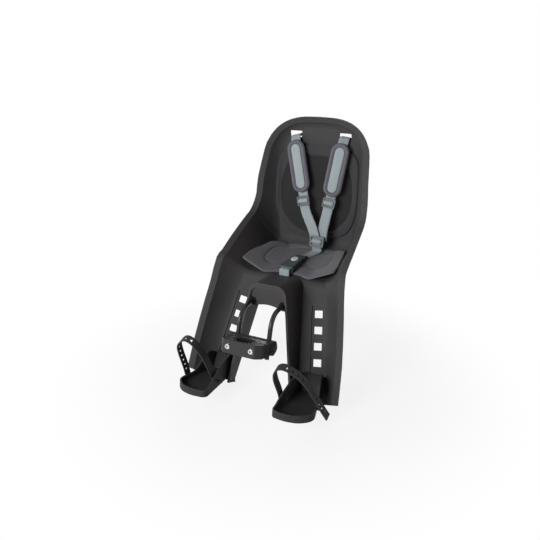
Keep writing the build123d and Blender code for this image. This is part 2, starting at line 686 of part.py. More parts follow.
# Clamp: rear block with a barrel across the fork's legs
half_height = BLOCK_HEIGHT / 2
bar_places = ((BAR_X, BAR_BACK), (-BAR_X, BAR_BACK))
across_clamp = Plane(origin=(0, 0, 0), x_dir=clamp_frame.y_dir, z_dir=(1, 0, 0))
behind_clamp = Plane(origin=(0, 0, 0), x_dir=(1, 0, 0), z_dir=clamp_frame.y_dir)
with BuildPart() as clamp_rear_block:
    with BuildSketch(clamp_frame.offset(-half_height)):
        with Locations((0, (BLOCK_GAP / 2 + BAR_BACK + BARREL_RADIUS / 2) / 2)):
            RectangleRounded(
                2 * BLOCK_HALF_WIDTH, BAR_BACK + BARREL_RADIUS / 2 - BLOCK_GAP / 2, BLOCK_ROUND
            )
    extrude(amount=BLOCK_HEIGHT)
    with BuildSketch(across_clamp):
        with Locations((BAR_BACK, 0)):
            Circle(BARREL_RADIUS)
    extrude(amount=BARREL_HALF_WIDTH, both=True)
    fillet(clamp_rear_block.faces().sort_by(Axis.X)[-1].edges(), HALF_WALL)
    fillet(clamp_rear_block.faces().sort_by(Axis.X)[0].edges(), HALF_WALL)
    with BuildSketch(clamp_frame):
        Circle(TUBE_RADIUS + LINER)
        with Locations(*bar_places):
            Circle(BAR_RADIUS + FIT)
    extrude(amount=BLOCK_HEIGHT, both=True, mode=Mode.SUBTRACT)
    with BuildSketch(behind_clamp):
        with Locations((BOLT_X, 0), (-BOLT_X, 0)):
            Circle(BOLT_RADIUS + CLIP_GAP)
    extrude(amount=NUT_SEAT + NUT_THICKNESS + WALL, mode=Mode.SUBTRACT)
    with BuildSketch(clamp_frame.offset(-half_height)):
        with Locations((BOLT_X, NUT_SEAT + NUT_THICKNESS / 2), (-BOLT_X, NUT_SEAT + NUT_THICKNESS / 2)):
            Rectangle(NUT_FLATS + 2 * FIT, NUT_THICKNESS + 2 * FIT)
    extrude(amount=half_height + NUT_FLATS * tan(radians(30)), mode=Mode.SUBTRACT)
    for _, side in SIDES:
        with BuildSketch(across_clamp.offset(side * BARREL_HALF_WIDTH)):
            with Locations((BAR_BACK, 0)):
                Circle(RELEASE_RADIUS + RELEASE_GAP)
        extrude(amount=-side * RELEASE_WELL, mode=Mode.SUBTRACT)
finish(clamp_rear_block, "clamp_rear_block")

# Clamp: front plate, its ends swept back
with BuildPart() as clamp_front_plate:
    with BuildSketch(clamp_frame.offset(-half_height)) as plate_plan:
        with BuildLine():
            Polyline(
                (BLOCK_HALF_WIDTH, -BLOCK_GAP / 2),
                (BLOCK_HALF_WIDTH, -PLATE_DEPTH / 2),
                (PLATE_FACE_HALF_WIDTH, -PLATE_DEPTH),
                (-PLATE_FACE_HALF_WIDTH, -PLATE_DEPTH),
                (-BLOCK_HALF_WIDTH, -PLATE_DEPTH / 2),
                (-BLOCK_HALF_WIDTH, -BLOCK_GAP / 2),
                close=True,
            )
        make_face()
        fillet(plate_plan.vertices().sort_by(Axis.Y)[:4], 2 * BLOCK_ROUND)
    extrude(amount=BLOCK_HEIGHT)
    flat_faces = clamp_front_plate.faces().filter_by(Plane(clamp_frame.origin, z_dir=clamp_frame.z_dir))
    fillet(flat_faces.edges(), HALF_WALL / 2)
    with BuildSketch(clamp_frame):
        Circle(TUBE_RADIUS + LINER)
    extrude(amount=BLOCK_HEIGHT, both=True, mode=Mode.SUBTRACT)
    with BuildSketch(behind_clamp):
        with Locations((BOLT_X, 0), (-BOLT_X, 0)):
            Circle(BOLT_RADIUS + CLIP_GAP)
    extrude(amount=-2 * PLATE_DEPTH, mode=Mode.SUBTRACT)
    with BuildSketch(behind_clamp.offset(HEAD_RECESS - PLATE_DEPTH)):
        with Locations((BOLT_X, 0), (-BOLT_X, 0)):
            Circle(WASHER_RADIUS + CLIP_GAP)
    extrude(amount=-2 * HEAD_RECESS, mode=Mode.SUBTRACT)
finish(clamp_front_plate, "clamp_front_plate")

# Rubber liners of the bore
for place, turn in (("rear", 90), ("front", -90)):
    with BuildPart() as clamp_liner:
        with BuildSketch(clamp_frame.offset(LINER - half_height)):
            with BuildLine():
                outer = CenterArc((0, 0), TUBE_RADIUS + LINER, turn - LINER_HALF_ANGLE, 2 * LINER_HALF_ANGLE)
                inner = CenterArc((0, 0), TUBE_RADIUS, turn - LINER_HALF_ANGLE, 2 * LINER_HALF_ANGLE)
                Line(outer @ 0, inner @ 0)
                Line(outer @ 1, inner @ 1)
            make_face()
        extrude(amount=BLOCK_HEIGHT - 2 * LINER)
    finish(clamp_liner, f"{place}_clamp_liner")

# Clamp bolts with socket heads, washers and nuts
head_seat = HEAD_RECESS - PLATE_DEPTH - WASHER_THICKNESS
bolt_places = ((BOLT_X, 0), (-BOLT_X, 0))
with BuildPart() as clamp_bolts:
    with BuildSketch(behind_clamp.offset(head_seat)):
        with Locations(*bolt_places):
            Circle(BOLT_RADIUS)
    extrude(amount=NUT_SEAT + NUT_THICKNESS + HALF_WALL - head_seat)
    with BuildSketch(behind_clamp.offset(head_seat)):
        with Locations(*bolt_places):
            Circle(BOLT_HEAD_RADIUS)
    extrude(amount=-BOLT_HEAD_HEIGHT)
    with BuildSketch(behind_clamp.offset(head_seat - BOLT_HEAD_HEIGHT)):
        with Locations(*bolt_places):
            RegularPolygon(BOLT_SOCKET / 2, 6, major_radius=False)
    extrude(amount=BOLT_SOCKET_DEPTH, mode=Mode.SUBTRACT)
finish(clamp_bolts, "clamp_bolts")
with BuildPart() as clamp_washers:
    with BuildSketch(behind_clamp.offset(head_seat)):
        with Locations(*bolt_places):
            Circle(WASHER_RADIUS)
            Circle(BOLT_RADIUS + FIT, mode=Mode.SUBTRACT)
    extrude(amount=WASHER_THICKNESS)
finish(clamp_washers, "clamp_washers")
with BuildPart() as clamp_nuts:
    with BuildSketch(behind_clamp.offset(NUT_SEAT)):
        with Locations(*bolt_places):
            RegularPolygon(NUT_FLATS / 2, 6, major_radius=False, rotation=30)
            Circle(BOLT_RADIUS + FIT, mode=Mode.SUBTRACT)
    extrude(amount=NUT_THICKNESS)
finish(clamp_nuts, "clamp_nuts")

# Release buttons in the barrel's ends, each over a spring
for name, side in SIDES:
    button_end = across_clamp.offset(side * (BARREL_HALF_WIDTH + RELEASE_PROUD))
    with BuildPart() as release_button:
        with BuildSketch(button_end):
            with Locations((BAR_BACK, 0)):
                Circle(RELEASE_RADIUS)
        extrude(amount=-side * RELEASE_LENGTH)
        fillet(release_button.faces().sort_by(Axis.X)[-1 if side > 0 else 0].edges(), HALF_WALL)
        with BuildSketch(across_clamp.offset(side * (BARREL_HALF_WIDTH + RELEASE_PROUD - RELEASE_LENGTH))):
            with Locations((BAR_BACK, 0)):
                Circle(SPRING_RADIUS + 2 * SPRING_WIRE)
        extrude(amount=side * (RELEASE_LENGTH - RELEASE_CROWN), mode=Mode.SUBTRACT)
    finish(release_button, f"{name}_release_button")
    spring_foot = BARREL_HALF_WIDTH - RELEASE_WELL + SPRING_WIRE + SPRING_GAP
    spring_head = BARREL_HALF_WIDTH + RELEASE_PROUD - RELEASE_CROWN - SPRING_WIRE - SPRING_GAP
    spring_length = spring_head - spring_foot
    with BuildPart() as release_spring:
        with BuildLine() as coil:
            Helix(
                spring_length / SPRING_TURNS,
                spring_length,
                SPRING_RADIUS,
                center=across_clamp.from_local_coords((BAR_BACK, 0, side * spring_foot)),
                direction=(side, 0, 0),
            )
        with BuildSketch(Plane(origin=coil.line @ 0, z_dir=coil.line % 0)):
            Circle(SPRING_WIRE)
        sweep(path=coil.line, is_frenet=True)
    finish(release_spring, f"{name}_release_spring")

# Steel fork: one rod, bent from the clamp back under the pan and round
bar_foot = clamp_frame.from_local_coords((BAR_X, BAR_BACK, -BAR_TIP))
bar_knee = bar_foot + clamp_frame.z_dir * ((BAR_LEVEL - bar_foot.Z) / clamp_frame.z_dir.Z)
with BuildPart() as support_fork:
    with BuildLine() as rod:
        FilletPolyline(
            bar_foot,
            bar_knee,
            Vector(BAR_X, BAR_REAR, BAR_LEVEL),
            Vector(-BAR_X, BAR_REAR, BAR_LEVEL),
            Vector(-BAR_X, bar_knee.Y, BAR_LEVEL),
            Vector(-BAR_X, bar_foot.Y, bar_foot.Z),
            radius=(BAR_BEND, BAR_REAR_BEND, BAR_REAR_BEND, BAR_BEND),
        )
    with BuildSketch(Plane(origin=rod.line @ 0, z_dir=rod.line % 0)):
        Circle(BAR_RADIUS)
    sweep(path=rod.line)
finish(support_fork, "support_fork")

# Sleeves that guide the fork through the apron
for name, side in SIDES:
    with BuildPart() as fork_sleeve:
        with BuildSketch(Plane.XZ.offset(-SLEEVE_REAR)):
            with Locations((side * BAR_X, BAR_LEVEL)):
                Circle(SLEEVE_RADIUS)
                Circle(BAR_RADIUS + FIT, mode=Mode.SUBTRACT)
        extrude(amount=SLEEVE_REAR - SLEEVE_FRONT)
    finish(fork_sleeve, f"{name}_fork_sleeve")

# Saddle that carries the fork's closed end under the pan
saddle_floor = BAR_LEVEL - BAR_RADIUS - SADDLE_FLOOR
with BuildPart() as fork_saddle:
    with BuildSketch(Plane.YZ):
        with BuildLine():
            near = SADDLE_Y - SADDLE_LENGTH / 2
            far = SADDLE_Y + SADDLE_LENGTH / 2
            Polyline(
                (near, saddle_floor),
                (far, saddle_floor),
                (far, pan_z(far) - HALF_WALL / cos(radians(PAN_TILT))),
                (near, pan_z(near) - HALF_WALL / cos(radians(PAN_TILT))),
                close=True,
            )
        make_face()
    extrude(amount=SADDLE_HALF_WIDTH, both=True)
    fillet(fork_saddle.edges().filter_by(Axis.Z), 2 * BLOCK_ROUND)
    with BuildSketch(Plane.XZ.offset(-far)):
        with Locations((BAR_X, BAR_LEVEL), (-BAR_X, BAR_LEVEL)):
            Circle(BAR_RADIUS + FIT)
    extrude(amount=SADDLE_LENGTH, mode=Mode.SUBTRACT)
    with BuildSketch(Plane.XY.offset(saddle_floor)):
        with Locations(*SCREW_PLACES):
            Circle(SCREW_RADIUS + FIT)
    extrude(amount=BAR_LEVEL, mode=Mode.SUBTRACT)
finish(fork_saddle, "fork_saddle")
with BuildPart() as saddle_screws:
    with BuildSketch(Plane.XY.offset(saddle_floor)):
        with Locations(*SCREW_PLACES):
            Circle(SCREW_HEAD_RADIUS)
    extrude(amount=-SCREW_HEAD_HEIGHT)
    with BuildSketch(Plane.XY.offset(saddle_floor)):
        with Locations(*SCREW_PLACES):
            Circle(SCREW_RADIUS)
    extrude(amount=pan_z(SADDLE_Y) - HALF_WALL - saddle_floor + WALL / 2)
finish(saddle_screws, "saddle_screws")

# Footrests: a cup with a rising sole, a high inner wall, a tall heel and a clip that slides in the leg's panel
foot_hinge = Axis(FOOT_HINGE, (1, 0, 0))
with BuildPart() as hollow_block:
    with BuildSketch(Plane.XY.offset(FOOT_BOTTOM + FOOT_FLOOR)):
        with BuildLine():
            cup_edge = FilletPolyline(*FOOT_PLAN, radius=FOOT_ROUNDS)
            Line(cup_edge @ 1, cup_edge @ 0)
        make_face()
        offset(amount=-FOOT_WALL, mode=Mode.REPLACE)
    extrude(amount=WALL * PANEL_WIDTH)
with BuildPart() as foot_hollow:
    add(hollow_block.part.rotate(foot_hinge, -FOOT_TILT))
    with BuildSketch(leg_frame.offset(FOOT_CLEAR + FOOT_BACK)):
        Rectangle(4 * panel_length, 4 * panel_length)
    extrude(amount=-2 * panel_length, mode=Mode.SUBTRACT)
with BuildPart() as foot_profile:
    for wall_edge, wall_start, wall_reach in (
        (FOOT_INNER_EDGE, 0, FOOT_MIDDLE),
        (FOOT_OUTER_EDGE, FOOT_MIDDLE, FOOT_OUTER),
    ):
        with BuildSketch(Plane.YZ.offset(wall_start)):
            with BuildLine():
                foot_section = Spline(*wall_edge, tangents=((1, 0), (1, 0)))
                Polyline(
                    foot_section @ 1,
                    (FOOT_PLAN[0].Y, FOOT_CREST - FOOT_CREST_FALL),
                    (FOOT_PLAN[0].Y, FOOT_BOTTOM),
                    (FOOT_FRONT, FOOT_BOTTOM),
                    (FOOT_FRONT, FOOT_RIM),
                    foot_section @ 0,
                )
            make_face()
        extrude(amount=wall_reach)
with BuildPart() as cup_block:
    with BuildSketch(Plane.XY.offset(FOOT_BOTTOM)):
        with BuildLine():
            cup_edge = FilletPolyline(*FOOT_PLAN, radius=FOOT_ROUNDS)
            Line(cup_edge @ 1, cup_edge @ 0)
        make_face()
    extrude(amount=FOOT_CREST - FOOT_BOTTOM)
    add(foot_profile.part, mode=Mode.INTERSECT)
with BuildPart() as footrest:
    add(cup_block.part.rotate(foot_hinge, -FOOT_TILT))
    add(foot_hollow.part, mode=Mode.SUBTRACT)
    with BuildSketch(leg_frame.offset(FOOT_CLEAR)):
        Rectangle(4 * panel_length, 4 * panel_length)
    extrude(amount=-2 * panel_length, mode=Mode.SUBTRACT)
    with BuildSketch(leg_frame.offset(CLIP_GAP - PANEL_DEPTH)):
        with Locations((0, (CLIP_TOP + CLIP_BOTTOM) / 2)):
            Rectangle(PANEL_WIDTH - 2 * CLIP_GAP, CLIP_TOP - CLIP_BOTTOM)
    extrude(amount=PANEL_DEPTH - CLIP_GAP + FOOT_CLEAR + FOOT_BACK / 2)
    for stud_z, stud_start, stud_reach in ((STUD_INNER_Z, 0, FOOT_MIDDLE), (STUD_Z, FOOT_MIDDLE, FOOT_OUTER)):
        with BuildSketch(Plane.YZ.offset(stud_start)):
            with Locations((STRAP_Y, stud_z)):
                Circle(STUD_RADIUS + FIT)
        extrude(amount=stud_reach, mode=Mode.SUBTRACT)
for name, side in SIDES:
    with BuildPart() as side_footrest:
        if side > 0:
            add(footrest.part)
        else:
            mirror(footrest.part, about=Plane.YZ)
    finish(side_footrest, f"{name}_footrest")

# Foot straps of perforated rubber, pinned to both sides of the cup
for name, side in SIDES:
    with BuildPart() as foot_strap:
        strap_front = Plane(
            origin=(0, STRAP_Y, STUD_Z),
            x_dir=(1, 0, 0),
            z_dir=(0, -cos(radians(STRAP_LEAN)), -sin(radians(STRAP_LEAN))),
        )
        with BuildSketch(strap_front):
            with BuildLine():
                path = Spline(*STRAP_PATHS[name])
            trace(line_width=STRAP_THICK)
        extrude(amount=STRAP_BAND / 2, both=True)
        hole_planes = []
        for hole in range(STRAP_HOLE_COUNT):
            along = 1 - (hole + STRAP_PLAIN_HOLES) * STRAP_HOLE_PITCH / path.length
            middle = path.position_at(along)
            heading = path.tangent_at(along)
            hole_planes.append(Plane(
                origin=strap_front.from_local_coords((middle.X, middle.Y, 0)),
                x_dir=strap_front.x_dir * heading.X + strap_front.y_dir * heading.Y,
                z_dir=strap_front.y_dir * heading.X - strap_front.x_dir * heading.Y,
            ))
        for hole_plane in hole_planes:
            with BuildSketch(hole_plane):
                RegularPolygon(STRAP_HOLE, 3)
            extrude(amount=2 * STRAP_THICK, both=True, mode=Mode.SUBTRACT)
        for stud_z, stud_start, stud_reach in ((STUD_INNER_Z, 0, FOOT_MIDDLE), (STUD_Z, FOOT_MIDDLE, FOOT_OUTER)):
            with BuildSketch(Plane.YZ.offset(side * stud_start)):
                with Locations((STRAP_Y, stud_z)):
                    Circle(STUD_RADIUS + FIT)
            extrude(amount=side * stud_reach, mode=Mode.SUBTRACT)
    finish(foot_strap, f"{name}_foot_strap")
    with BuildPart() as strap_studs:
        inner_x = side * STUD_INNER_X
        outer_x = side * STUD_OUTER_X[name]
        with BuildSketch(Plane.YZ.offset(inner_x)):
            with Locations((STRAP_Y, STUD_INNER_Z)):
                Circle(STUD_RADIUS)
        extrude(amount=side * STUD_LENGTH)
        with BuildSketch(Plane.YZ.offset(inner_x)):
            with Locations((STRAP_Y, STUD_INNER_Z)):
                Circle(STUD_HEAD_RADIUS)
        extrude(amount=-side * STUD_HEAD)
        with BuildSketch(Plane.YZ.offset(outer_x)):
            with Locations((STRAP_Y, STUD_Z)):
                Circle(STUD_RADIUS)
        extrude(amount=side * STUD_OUTER_END - outer_x)
        with BuildSketch(Plane.YZ.offset(outer_x)):
            with Locations((STRAP_Y, STUD_Z)):
                Circle(STUD_HEAD_RADIUS)
        extrude(amount=side * STUD_HEAD)
    finish(strap_studs, f"{name}_strap_studs")

# Harness: shoulder straps with their pads, adjusters and anchors, and the straps below them
forward = Vector(0, -1, 0)
for name, side in SIDES:
    shoulder_lean = radians(SHOULDER_LEAN[name])
    shoulder_rise = radians(SHOULDER_RISE)
    down = Vector(-side * sin(shoulder_lean), 0, -cos(shoulder_lean))
    slot = Vector(side * SLOT_X, back_y(SLOT_Z) - HALF_WALL, SLOT_Z)
    strap_side = Plane(origin=slot, x_dir=down, z_dir=down.cross(forward))
    run = SHOULDER_END - SHOULDER_START.X
    with BuildPart() as shoulder_strap:
        with BuildSketch(strap_side):
            with BuildLine():
                FilletPolyline(
                    (SLOT_PASS, -ANCHOR_DEPTH - WEB_BEND),
                    (SLOT_PASS, WEB_BEND),
                    (SHOULDER_START.X, SHOULDER_START.Y),
                    (SHOULDER_END, SHOULDER_START.Y + run * tan(shoulder_rise)),
                    radius=WEB_BEND,
                )
            trace(line_width=WEB_THICK)
        extrude(amount=WEB / 2, both=True)
    finish(shoulder_strap, f"{name}_shoulder_strap")
    with BuildPart() as strap_anchor:
        with BuildSketch(strap_side):
            with Locations((
                SLOT_PASS + (WEB_THICK + ANCHOR_HEIGHT) / 2 + FIT, -WALL - ANCHOR_GAP - ANCHOR_DEPTH / 2
            )):
                Rectangle(ANCHOR_HEIGHT, ANCHOR_DEPTH)
        extrude(amount=ANCHOR_LENGTH / 2, both=True)
    finish(strap_anchor, f"{name}_strap_anchor")

    along_strap = down * cos(shoulder_rise) + forward * sin(shoulder_rise)
    off_strap = forward * cos(shoulder_rise) - down * sin(shoulder_rise)
    strap_top = slot + down * SHOULDER_START.X + forward * SHOULDER_START.Y
    pad_centre = strap_top + along_strap * (SHOULDER_PAD_AT - SHOULDER_START.X)
    pad_frame = Plane(origin=pad_centre, x_dir=along_strap, z_dir=off_strap).offset(WEB_THICK / 2 + FIT)
    with BuildPart() as shoulder_pad:
        with BuildSketch(pad_frame):
            RectangleRounded(SHOULDER_PAD_LENGTH, SHOULDER_PAD_WIDTH, SHOULDER_PAD_ROUND)
        extrude(amount=SHOULDER_PAD_THICK)
        top_edges = shoulder_pad.faces().filter_by(Plane(pad_centre, z_dir=off_strap)).edges()
        fillet(top_edges, SHOULDER_PAD_EDGE)
    finish(shoulder_pad, f"{name}_shoulder_pad")
    with BuildPart() as pad_patch:
        with BuildSketch(pad_frame.offset(SHOULDER_PAD_THICK)):
            RectangleRounded(PATCH_LENGTH, PATCH_WIDTH, PATCH_ROUND)
        extrude(amount=PATCH_THICK)
    finish(pad_patch, f"{name}_pad_patch")

    glide_place = strap_top + along_strap * (GLIDE_AT[name] - SHOULDER_START.X)
    slot_size = (GLIDE_HEIGHT - 3 * GLIDE_RAIL) / 2
    slot_shift = (slot_size + GLIDE_RAIL) / 2
    with BuildPart() as strap_adjuster:
        with BuildSketch(Plane(origin=glide_place, x_dir=along_strap, z_dir=off_strap).offset(GLIDE_LIFT)):
            RectangleRounded(GLIDE_HEIGHT, GLIDE_WIDTH, GLIDE_RAIL)
            with Locations((slot_shift, 0), (-slot_shift, 0)):
                Rectangle(slot_size, GLIDE_WIDTH - 2 * GLIDE_RAIL, mode=Mode.SUBTRACT)
        extrude(amount=GLIDE_THICK)
    finish(strap_adjuster, f"{name}_strap_adjuster")

    lower_start = glide_place + off_strap * LOWER_LIFT
    lower_run = LOWER_ENDS[name] - lower_start
    lower_down = Vector(lower_run.X, 0, lower_run.Z).normalized()
    with BuildPart() as lower_strap:
        with BuildSketch(Plane(origin=lower_start, x_dir=lower_down, z_dir=lower_down.cross(forward))):
            with BuildLine():
                FilletPolyline(
                    (-LOWER_HEAD, -LOWER_HEAD * tan(shoulder_rise)),
                    (LOWER_HEAD, LOWER_HEAD * tan(shoulder_rise)),
                    (hypot(lower_run.X, lower_run.Z), -lower_run.Y),
                    radius=LOWER_BEND,
                )
            trace(line_width=WEB_THICK)
        extrude(amount=WEB / 2, both=True)
    finish(lower_strap, f"{name}_lower_strap")

# Slider that joins the two lower straps
slider_lean = radians(SLIDER_LEAN)
with BuildPart() as centre_slider:
    slider_slot = (SLIDER_HEIGHT - 3 * GLIDE_RAIL) / 2
    slider_shift = (slider_slot + GLIDE_RAIL) / 2
    with BuildSketch(Plane(
        origin=SLIDER_PLACE, x_dir=(1, 0, 0), z_dir=(0, -cos(slider_lean), sin(slider_lean))
    )):
        RectangleRounded(SLIDER_WIDTH, SLIDER_HEIGHT, GLIDE_RAIL)
        with Locations((0, slider_shift), (0, -slider_shift)):
            Rectangle(SLIDER_WIDTH - 2 * GLIDE_RAIL, slider_slot, mode=Mode.SUBTRACT)
    extrude(amount=SLIDER_THICK / 2, both=True)
finish(centre_slider, "centre_slider")

# Buckle body with the wells of its button, its tongue and its strap
buckle_turn = radians(BUCKLE_TURN)
buckle_base = Plane(
    origin=pan_frame.from_local_coords((BUCKLE_PLACE.X, BUCKLE_PLACE.Y - SEAT_PAD_FRONT, 0)),
    x_dir=pan_frame.x_dir * cos(buckle_turn) - pan_frame.y_dir * sin(buckle_turn),
    z_dir=pan_frame.z_dir,
)
buckle_floor = buckle_base.offset(BUCKLE_LIFT)
buckle_top = buckle_floor.offset(BUCKLE_THICK)
blade_low = TONGUE_LIFT - TONGUE_GAP
with BuildPart() as buckle_body:
    with BuildSketch(buckle_floor) as buckle_plan:
        with BuildLine():
            Polyline(
                (-BUCKLE_WIDTH[0] / 2, 0),
                (BUCKLE_WIDTH[0] / 2, 0),
                (BUCKLE_WIDTH[1] / 2, BUCKLE_LENGTH),
                (-BUCKLE_WIDTH[1] / 2, BUCKLE_LENGTH),
                close=True,
            )
        make_face()
        fillet(buckle_plan.vertices(), BUCKLE_ROUND)
    extrude(amount=BUCKLE_THICK)
    flat_faces = buckle_body.faces().filter_by(Plane(buckle_top.origin, z_dir=buckle_top.z_dir))
    fillet(flat_faces.edges(), BUCKLE_EDGE)
    with BuildSketch(buckle_floor):
        for notch in BUCKLE_NOTCHES:
            half_width = (BUCKLE_WIDTH[0] + (BUCKLE_WIDTH[1] - BUCKLE_WIDTH[0]) * notch / BUCKLE_LENGTH) / 2
            with Locations((half_width, notch), (-half_width, notch)):
                Circle(BUCKLE_NOTCH)
    extrude(amount=BUCKLE_THICK, mode=Mode.SUBTRACT)
    with BuildSketch(buckle_top):
        with Locations((0, BUTTON_AT)):
            Ellipse(BUTTON_WIDTH / 2 + BUTTON_GAP, BUTTON_LENGTH / 2 + BUTTON_GAP)
    extrude(amount=-BUTTON_WELL, mode=Mode.SUBTRACT)
    with BuildSketch(buckle_floor.offset(blade_low)):
        with Locations((0, BUCKLE_LENGTH - BLADE_LENGTH / 2 - TONGUE_GAP / 2)):
            Rectangle(BLADE_WIDTH + 2 * TONGUE_GAP, BLADE_LENGTH + TONGUE_GAP)
    extrude(amount=BLADE_THICK + 2 * TONGUE_GAP, mode=Mode.SUBTRACT)
    pocket_height = 4 * WEB_THICK
    with BuildSketch(buckle_floor.offset((BUCKLE_THICK - pocket_height) / 2)):
        Rectangle(SLOT_WIDTH, 2 * CROTCH_POCKET)
    extrude(amount=pocket_height, mode=Mode.SUBTRACT)
finish(buckle_body, "buckle_body")

# Tongue: a plate behind the buckle, its blade in the buckle
tongue_start = BUCKLE_LENGTH + TONGUE_GAP
with BuildPart() as buckle_tongue:
    with BuildSketch(buckle_floor.offset(TONGUE_LIFT)):
        with Locations((0, tongue_start + TONGUE_LENGTH / 2)):
            RectangleRounded(TONGUE_WIDTH, TONGUE_LENGTH, WEB_BEND)
    extrude(amount=TONGUE_THICK)
    with BuildSketch(buckle_floor.offset(TONGUE_LIFT)):
        with Locations((0, tongue_start - BLADE_LENGTH / 2 + HALF_WALL)):
            Rectangle(BLADE_WIDTH, BLADE_LENGTH - TONGUE_GAP + WALL)
    extrude(amount=BLADE_THICK)
finish(buckle_tongue, "buckle_tongue")

# Push button over its spring
with BuildPart() as buckle_button:
    with BuildSketch(buckle_top.offset(BUTTON_PROUD)):
        with Locations((0, BUTTON_AT)):
            Ellipse(BUTTON_WIDTH / 2, BUTTON_LENGTH / 2)
    extrude(amount=-BUTTON_DEPTH)
    crown = buckle_button.faces().filter_by(Plane(buckle_top.origin, z_dir=buckle_top.z_dir))
    fillet(crown.sort_by(Axis.Z)[-1].edges(), BUTTON_EDGE)
finish(buckle_button, "buckle_button")
with BuildPart() as button_spring:
    coil_height = BUTTON_WELL + BUTTON_PROUD - BUTTON_DEPTH - 2 * (BUTTON_SPRING_WIRE + SPRING_GAP)
    coil_foot = BUTTON_SPRING_WIRE + SPRING_GAP - BUTTON_WELL
    with BuildLine() as button_coil:
        Helix(
            coil_height / SPRING_TURNS,
            coil_height,
            BUTTON_SPRING_RADIUS,
            center=buckle_top.from_local_coords((0, BUTTON_AT, coil_foot)),
            direction=buckle_top.z_dir,
        )
    with BuildSketch(Plane(origin=button_coil.line @ 0, z_dir=button_coil.line % 0)):
        Circle(BUTTON_SPRING_WIRE)
    sweep(path=button_coil.line, is_frenet=True)
finish(button_spring, "button_spring")

# Strap from the slider down to the pad and under the tongue
tongue_strap_end = buckle_base.from_local_coords(
    (0, tongue_start + TONGUE_LENGTH - TONGUE_STRAP_UNDER, PAD_GAP + PAD_THICKNESS + WEB_THICK)
)
strap_run = tongue_strap_end - TONGUE_STRAP_TOP
run_heading = Vector(strap_run.X, strap_run.Y, 0).normalized()
with BuildPart() as tongue_strap:
    with BuildSketch(Plane(
        origin=(TONGUE_STRAP_TOP.X, TONGUE_STRAP_TOP.Y, 0),
        x_dir=run_heading,
        z_dir=run_heading.cross(Vector(0, 0, 1)),
    )):
        with BuildLine():
            FilletPolyline(
                (0, TONGUE_STRAP_TOP.Z),
                (-WALL, TONGUE_STRAP_FALL),
                (hypot(strap_run.X, strap_run.Y), tongue_strap_end.Z),
                radius=WEB_BEND,
            )
        trace(line_width=WEB_THICK)
    extrude(amount=WEB / 2, both=True)
finish(tongue_strap, "tongue_strap")

# Crotch strap: up through the pan's slot and forwards into the buckle
with BuildPart() as crotch_strap:
    with BuildSketch(Plane.YZ.offset(CROTCH_X)):
        with BuildLine():
            FilletPolyline(
                (CROTCH_Y, CROTCH_STRAP_FOOT),
                (CROTCH_Y, CROTCH_STRAP_TOP),
                (CROTCH_Y + CROTCH_STRAP_IN, CROTCH_STRAP_TOP + CROTCH_STRAP_IN * tan(radians(PAN_TILT))),
                radius=WEB_BEND,
            )
        trace(line_width=WEB_THICK)
    extrude(amount=WEB / 2, both=True)
finish(crotch_strap, "crotch_strap")
with BuildPart() as crotch_anchor:
    with BuildSketch(Plane.YZ.offset(CROTCH_X)):
        with Locations((
            CROTCH_Y + (WEB_THICK + ANCHOR_DEPTH) / 2 + FIT,
            pan_z(CROTCH_Y) - HALF_WALL - 3 * ANCHOR_GAP - ANCHOR_HEIGHT / 2,
        )):
            Rectangle(ANCHOR_DEPTH, ANCHOR_HEIGHT)
    extrude(amount=ANCHOR_LENGTH / 2, both=True)
finish(crotch_anchor, "crotch_anchor")
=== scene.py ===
"""Looks of a front child bicycle seat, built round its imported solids."""

import json
import logging
import math
from collections.abc import Sequence
from dataclasses import dataclass, field
from enum import Enum

import bpy
from mathutils import Matrix, Vector
from mathutils.bvhtree import BVHTree

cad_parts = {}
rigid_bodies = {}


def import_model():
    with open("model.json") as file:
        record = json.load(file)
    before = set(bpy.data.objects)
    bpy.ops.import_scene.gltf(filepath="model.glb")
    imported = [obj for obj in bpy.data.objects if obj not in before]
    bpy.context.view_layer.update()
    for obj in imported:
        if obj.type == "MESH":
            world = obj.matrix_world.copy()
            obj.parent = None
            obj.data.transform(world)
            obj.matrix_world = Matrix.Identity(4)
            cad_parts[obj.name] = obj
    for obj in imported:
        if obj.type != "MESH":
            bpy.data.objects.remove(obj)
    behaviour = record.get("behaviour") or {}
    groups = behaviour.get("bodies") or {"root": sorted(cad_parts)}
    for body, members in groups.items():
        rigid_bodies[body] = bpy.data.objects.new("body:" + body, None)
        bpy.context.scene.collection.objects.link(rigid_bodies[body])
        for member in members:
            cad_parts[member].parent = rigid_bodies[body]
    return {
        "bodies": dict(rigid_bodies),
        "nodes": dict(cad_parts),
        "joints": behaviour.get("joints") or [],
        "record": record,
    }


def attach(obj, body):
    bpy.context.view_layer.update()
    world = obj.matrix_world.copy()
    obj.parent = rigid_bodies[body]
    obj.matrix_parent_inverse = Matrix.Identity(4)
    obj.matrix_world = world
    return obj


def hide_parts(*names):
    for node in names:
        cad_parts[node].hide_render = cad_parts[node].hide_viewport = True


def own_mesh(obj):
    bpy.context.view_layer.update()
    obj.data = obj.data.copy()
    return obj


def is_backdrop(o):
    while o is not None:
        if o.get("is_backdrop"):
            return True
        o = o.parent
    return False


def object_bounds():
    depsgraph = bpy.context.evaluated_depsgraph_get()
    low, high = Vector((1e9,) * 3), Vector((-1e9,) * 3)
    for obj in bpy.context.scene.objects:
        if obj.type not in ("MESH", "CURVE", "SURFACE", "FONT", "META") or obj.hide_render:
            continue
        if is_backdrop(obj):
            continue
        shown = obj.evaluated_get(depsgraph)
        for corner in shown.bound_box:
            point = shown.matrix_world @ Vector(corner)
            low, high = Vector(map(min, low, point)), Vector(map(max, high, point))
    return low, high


LOG = logging.getLogger("child_seat")
MM = 0.001
EDGE_SAMPLES = 4
EDGE_TURN = (0.02, 0.2)
CORNER_SHARE = 0.45
CORNER_STEPS = 6
TINY = 1e-9
WHITE = (1.0, 1.0, 1.0, 1.0)
ACROSS = Vector((1, 0, 0))
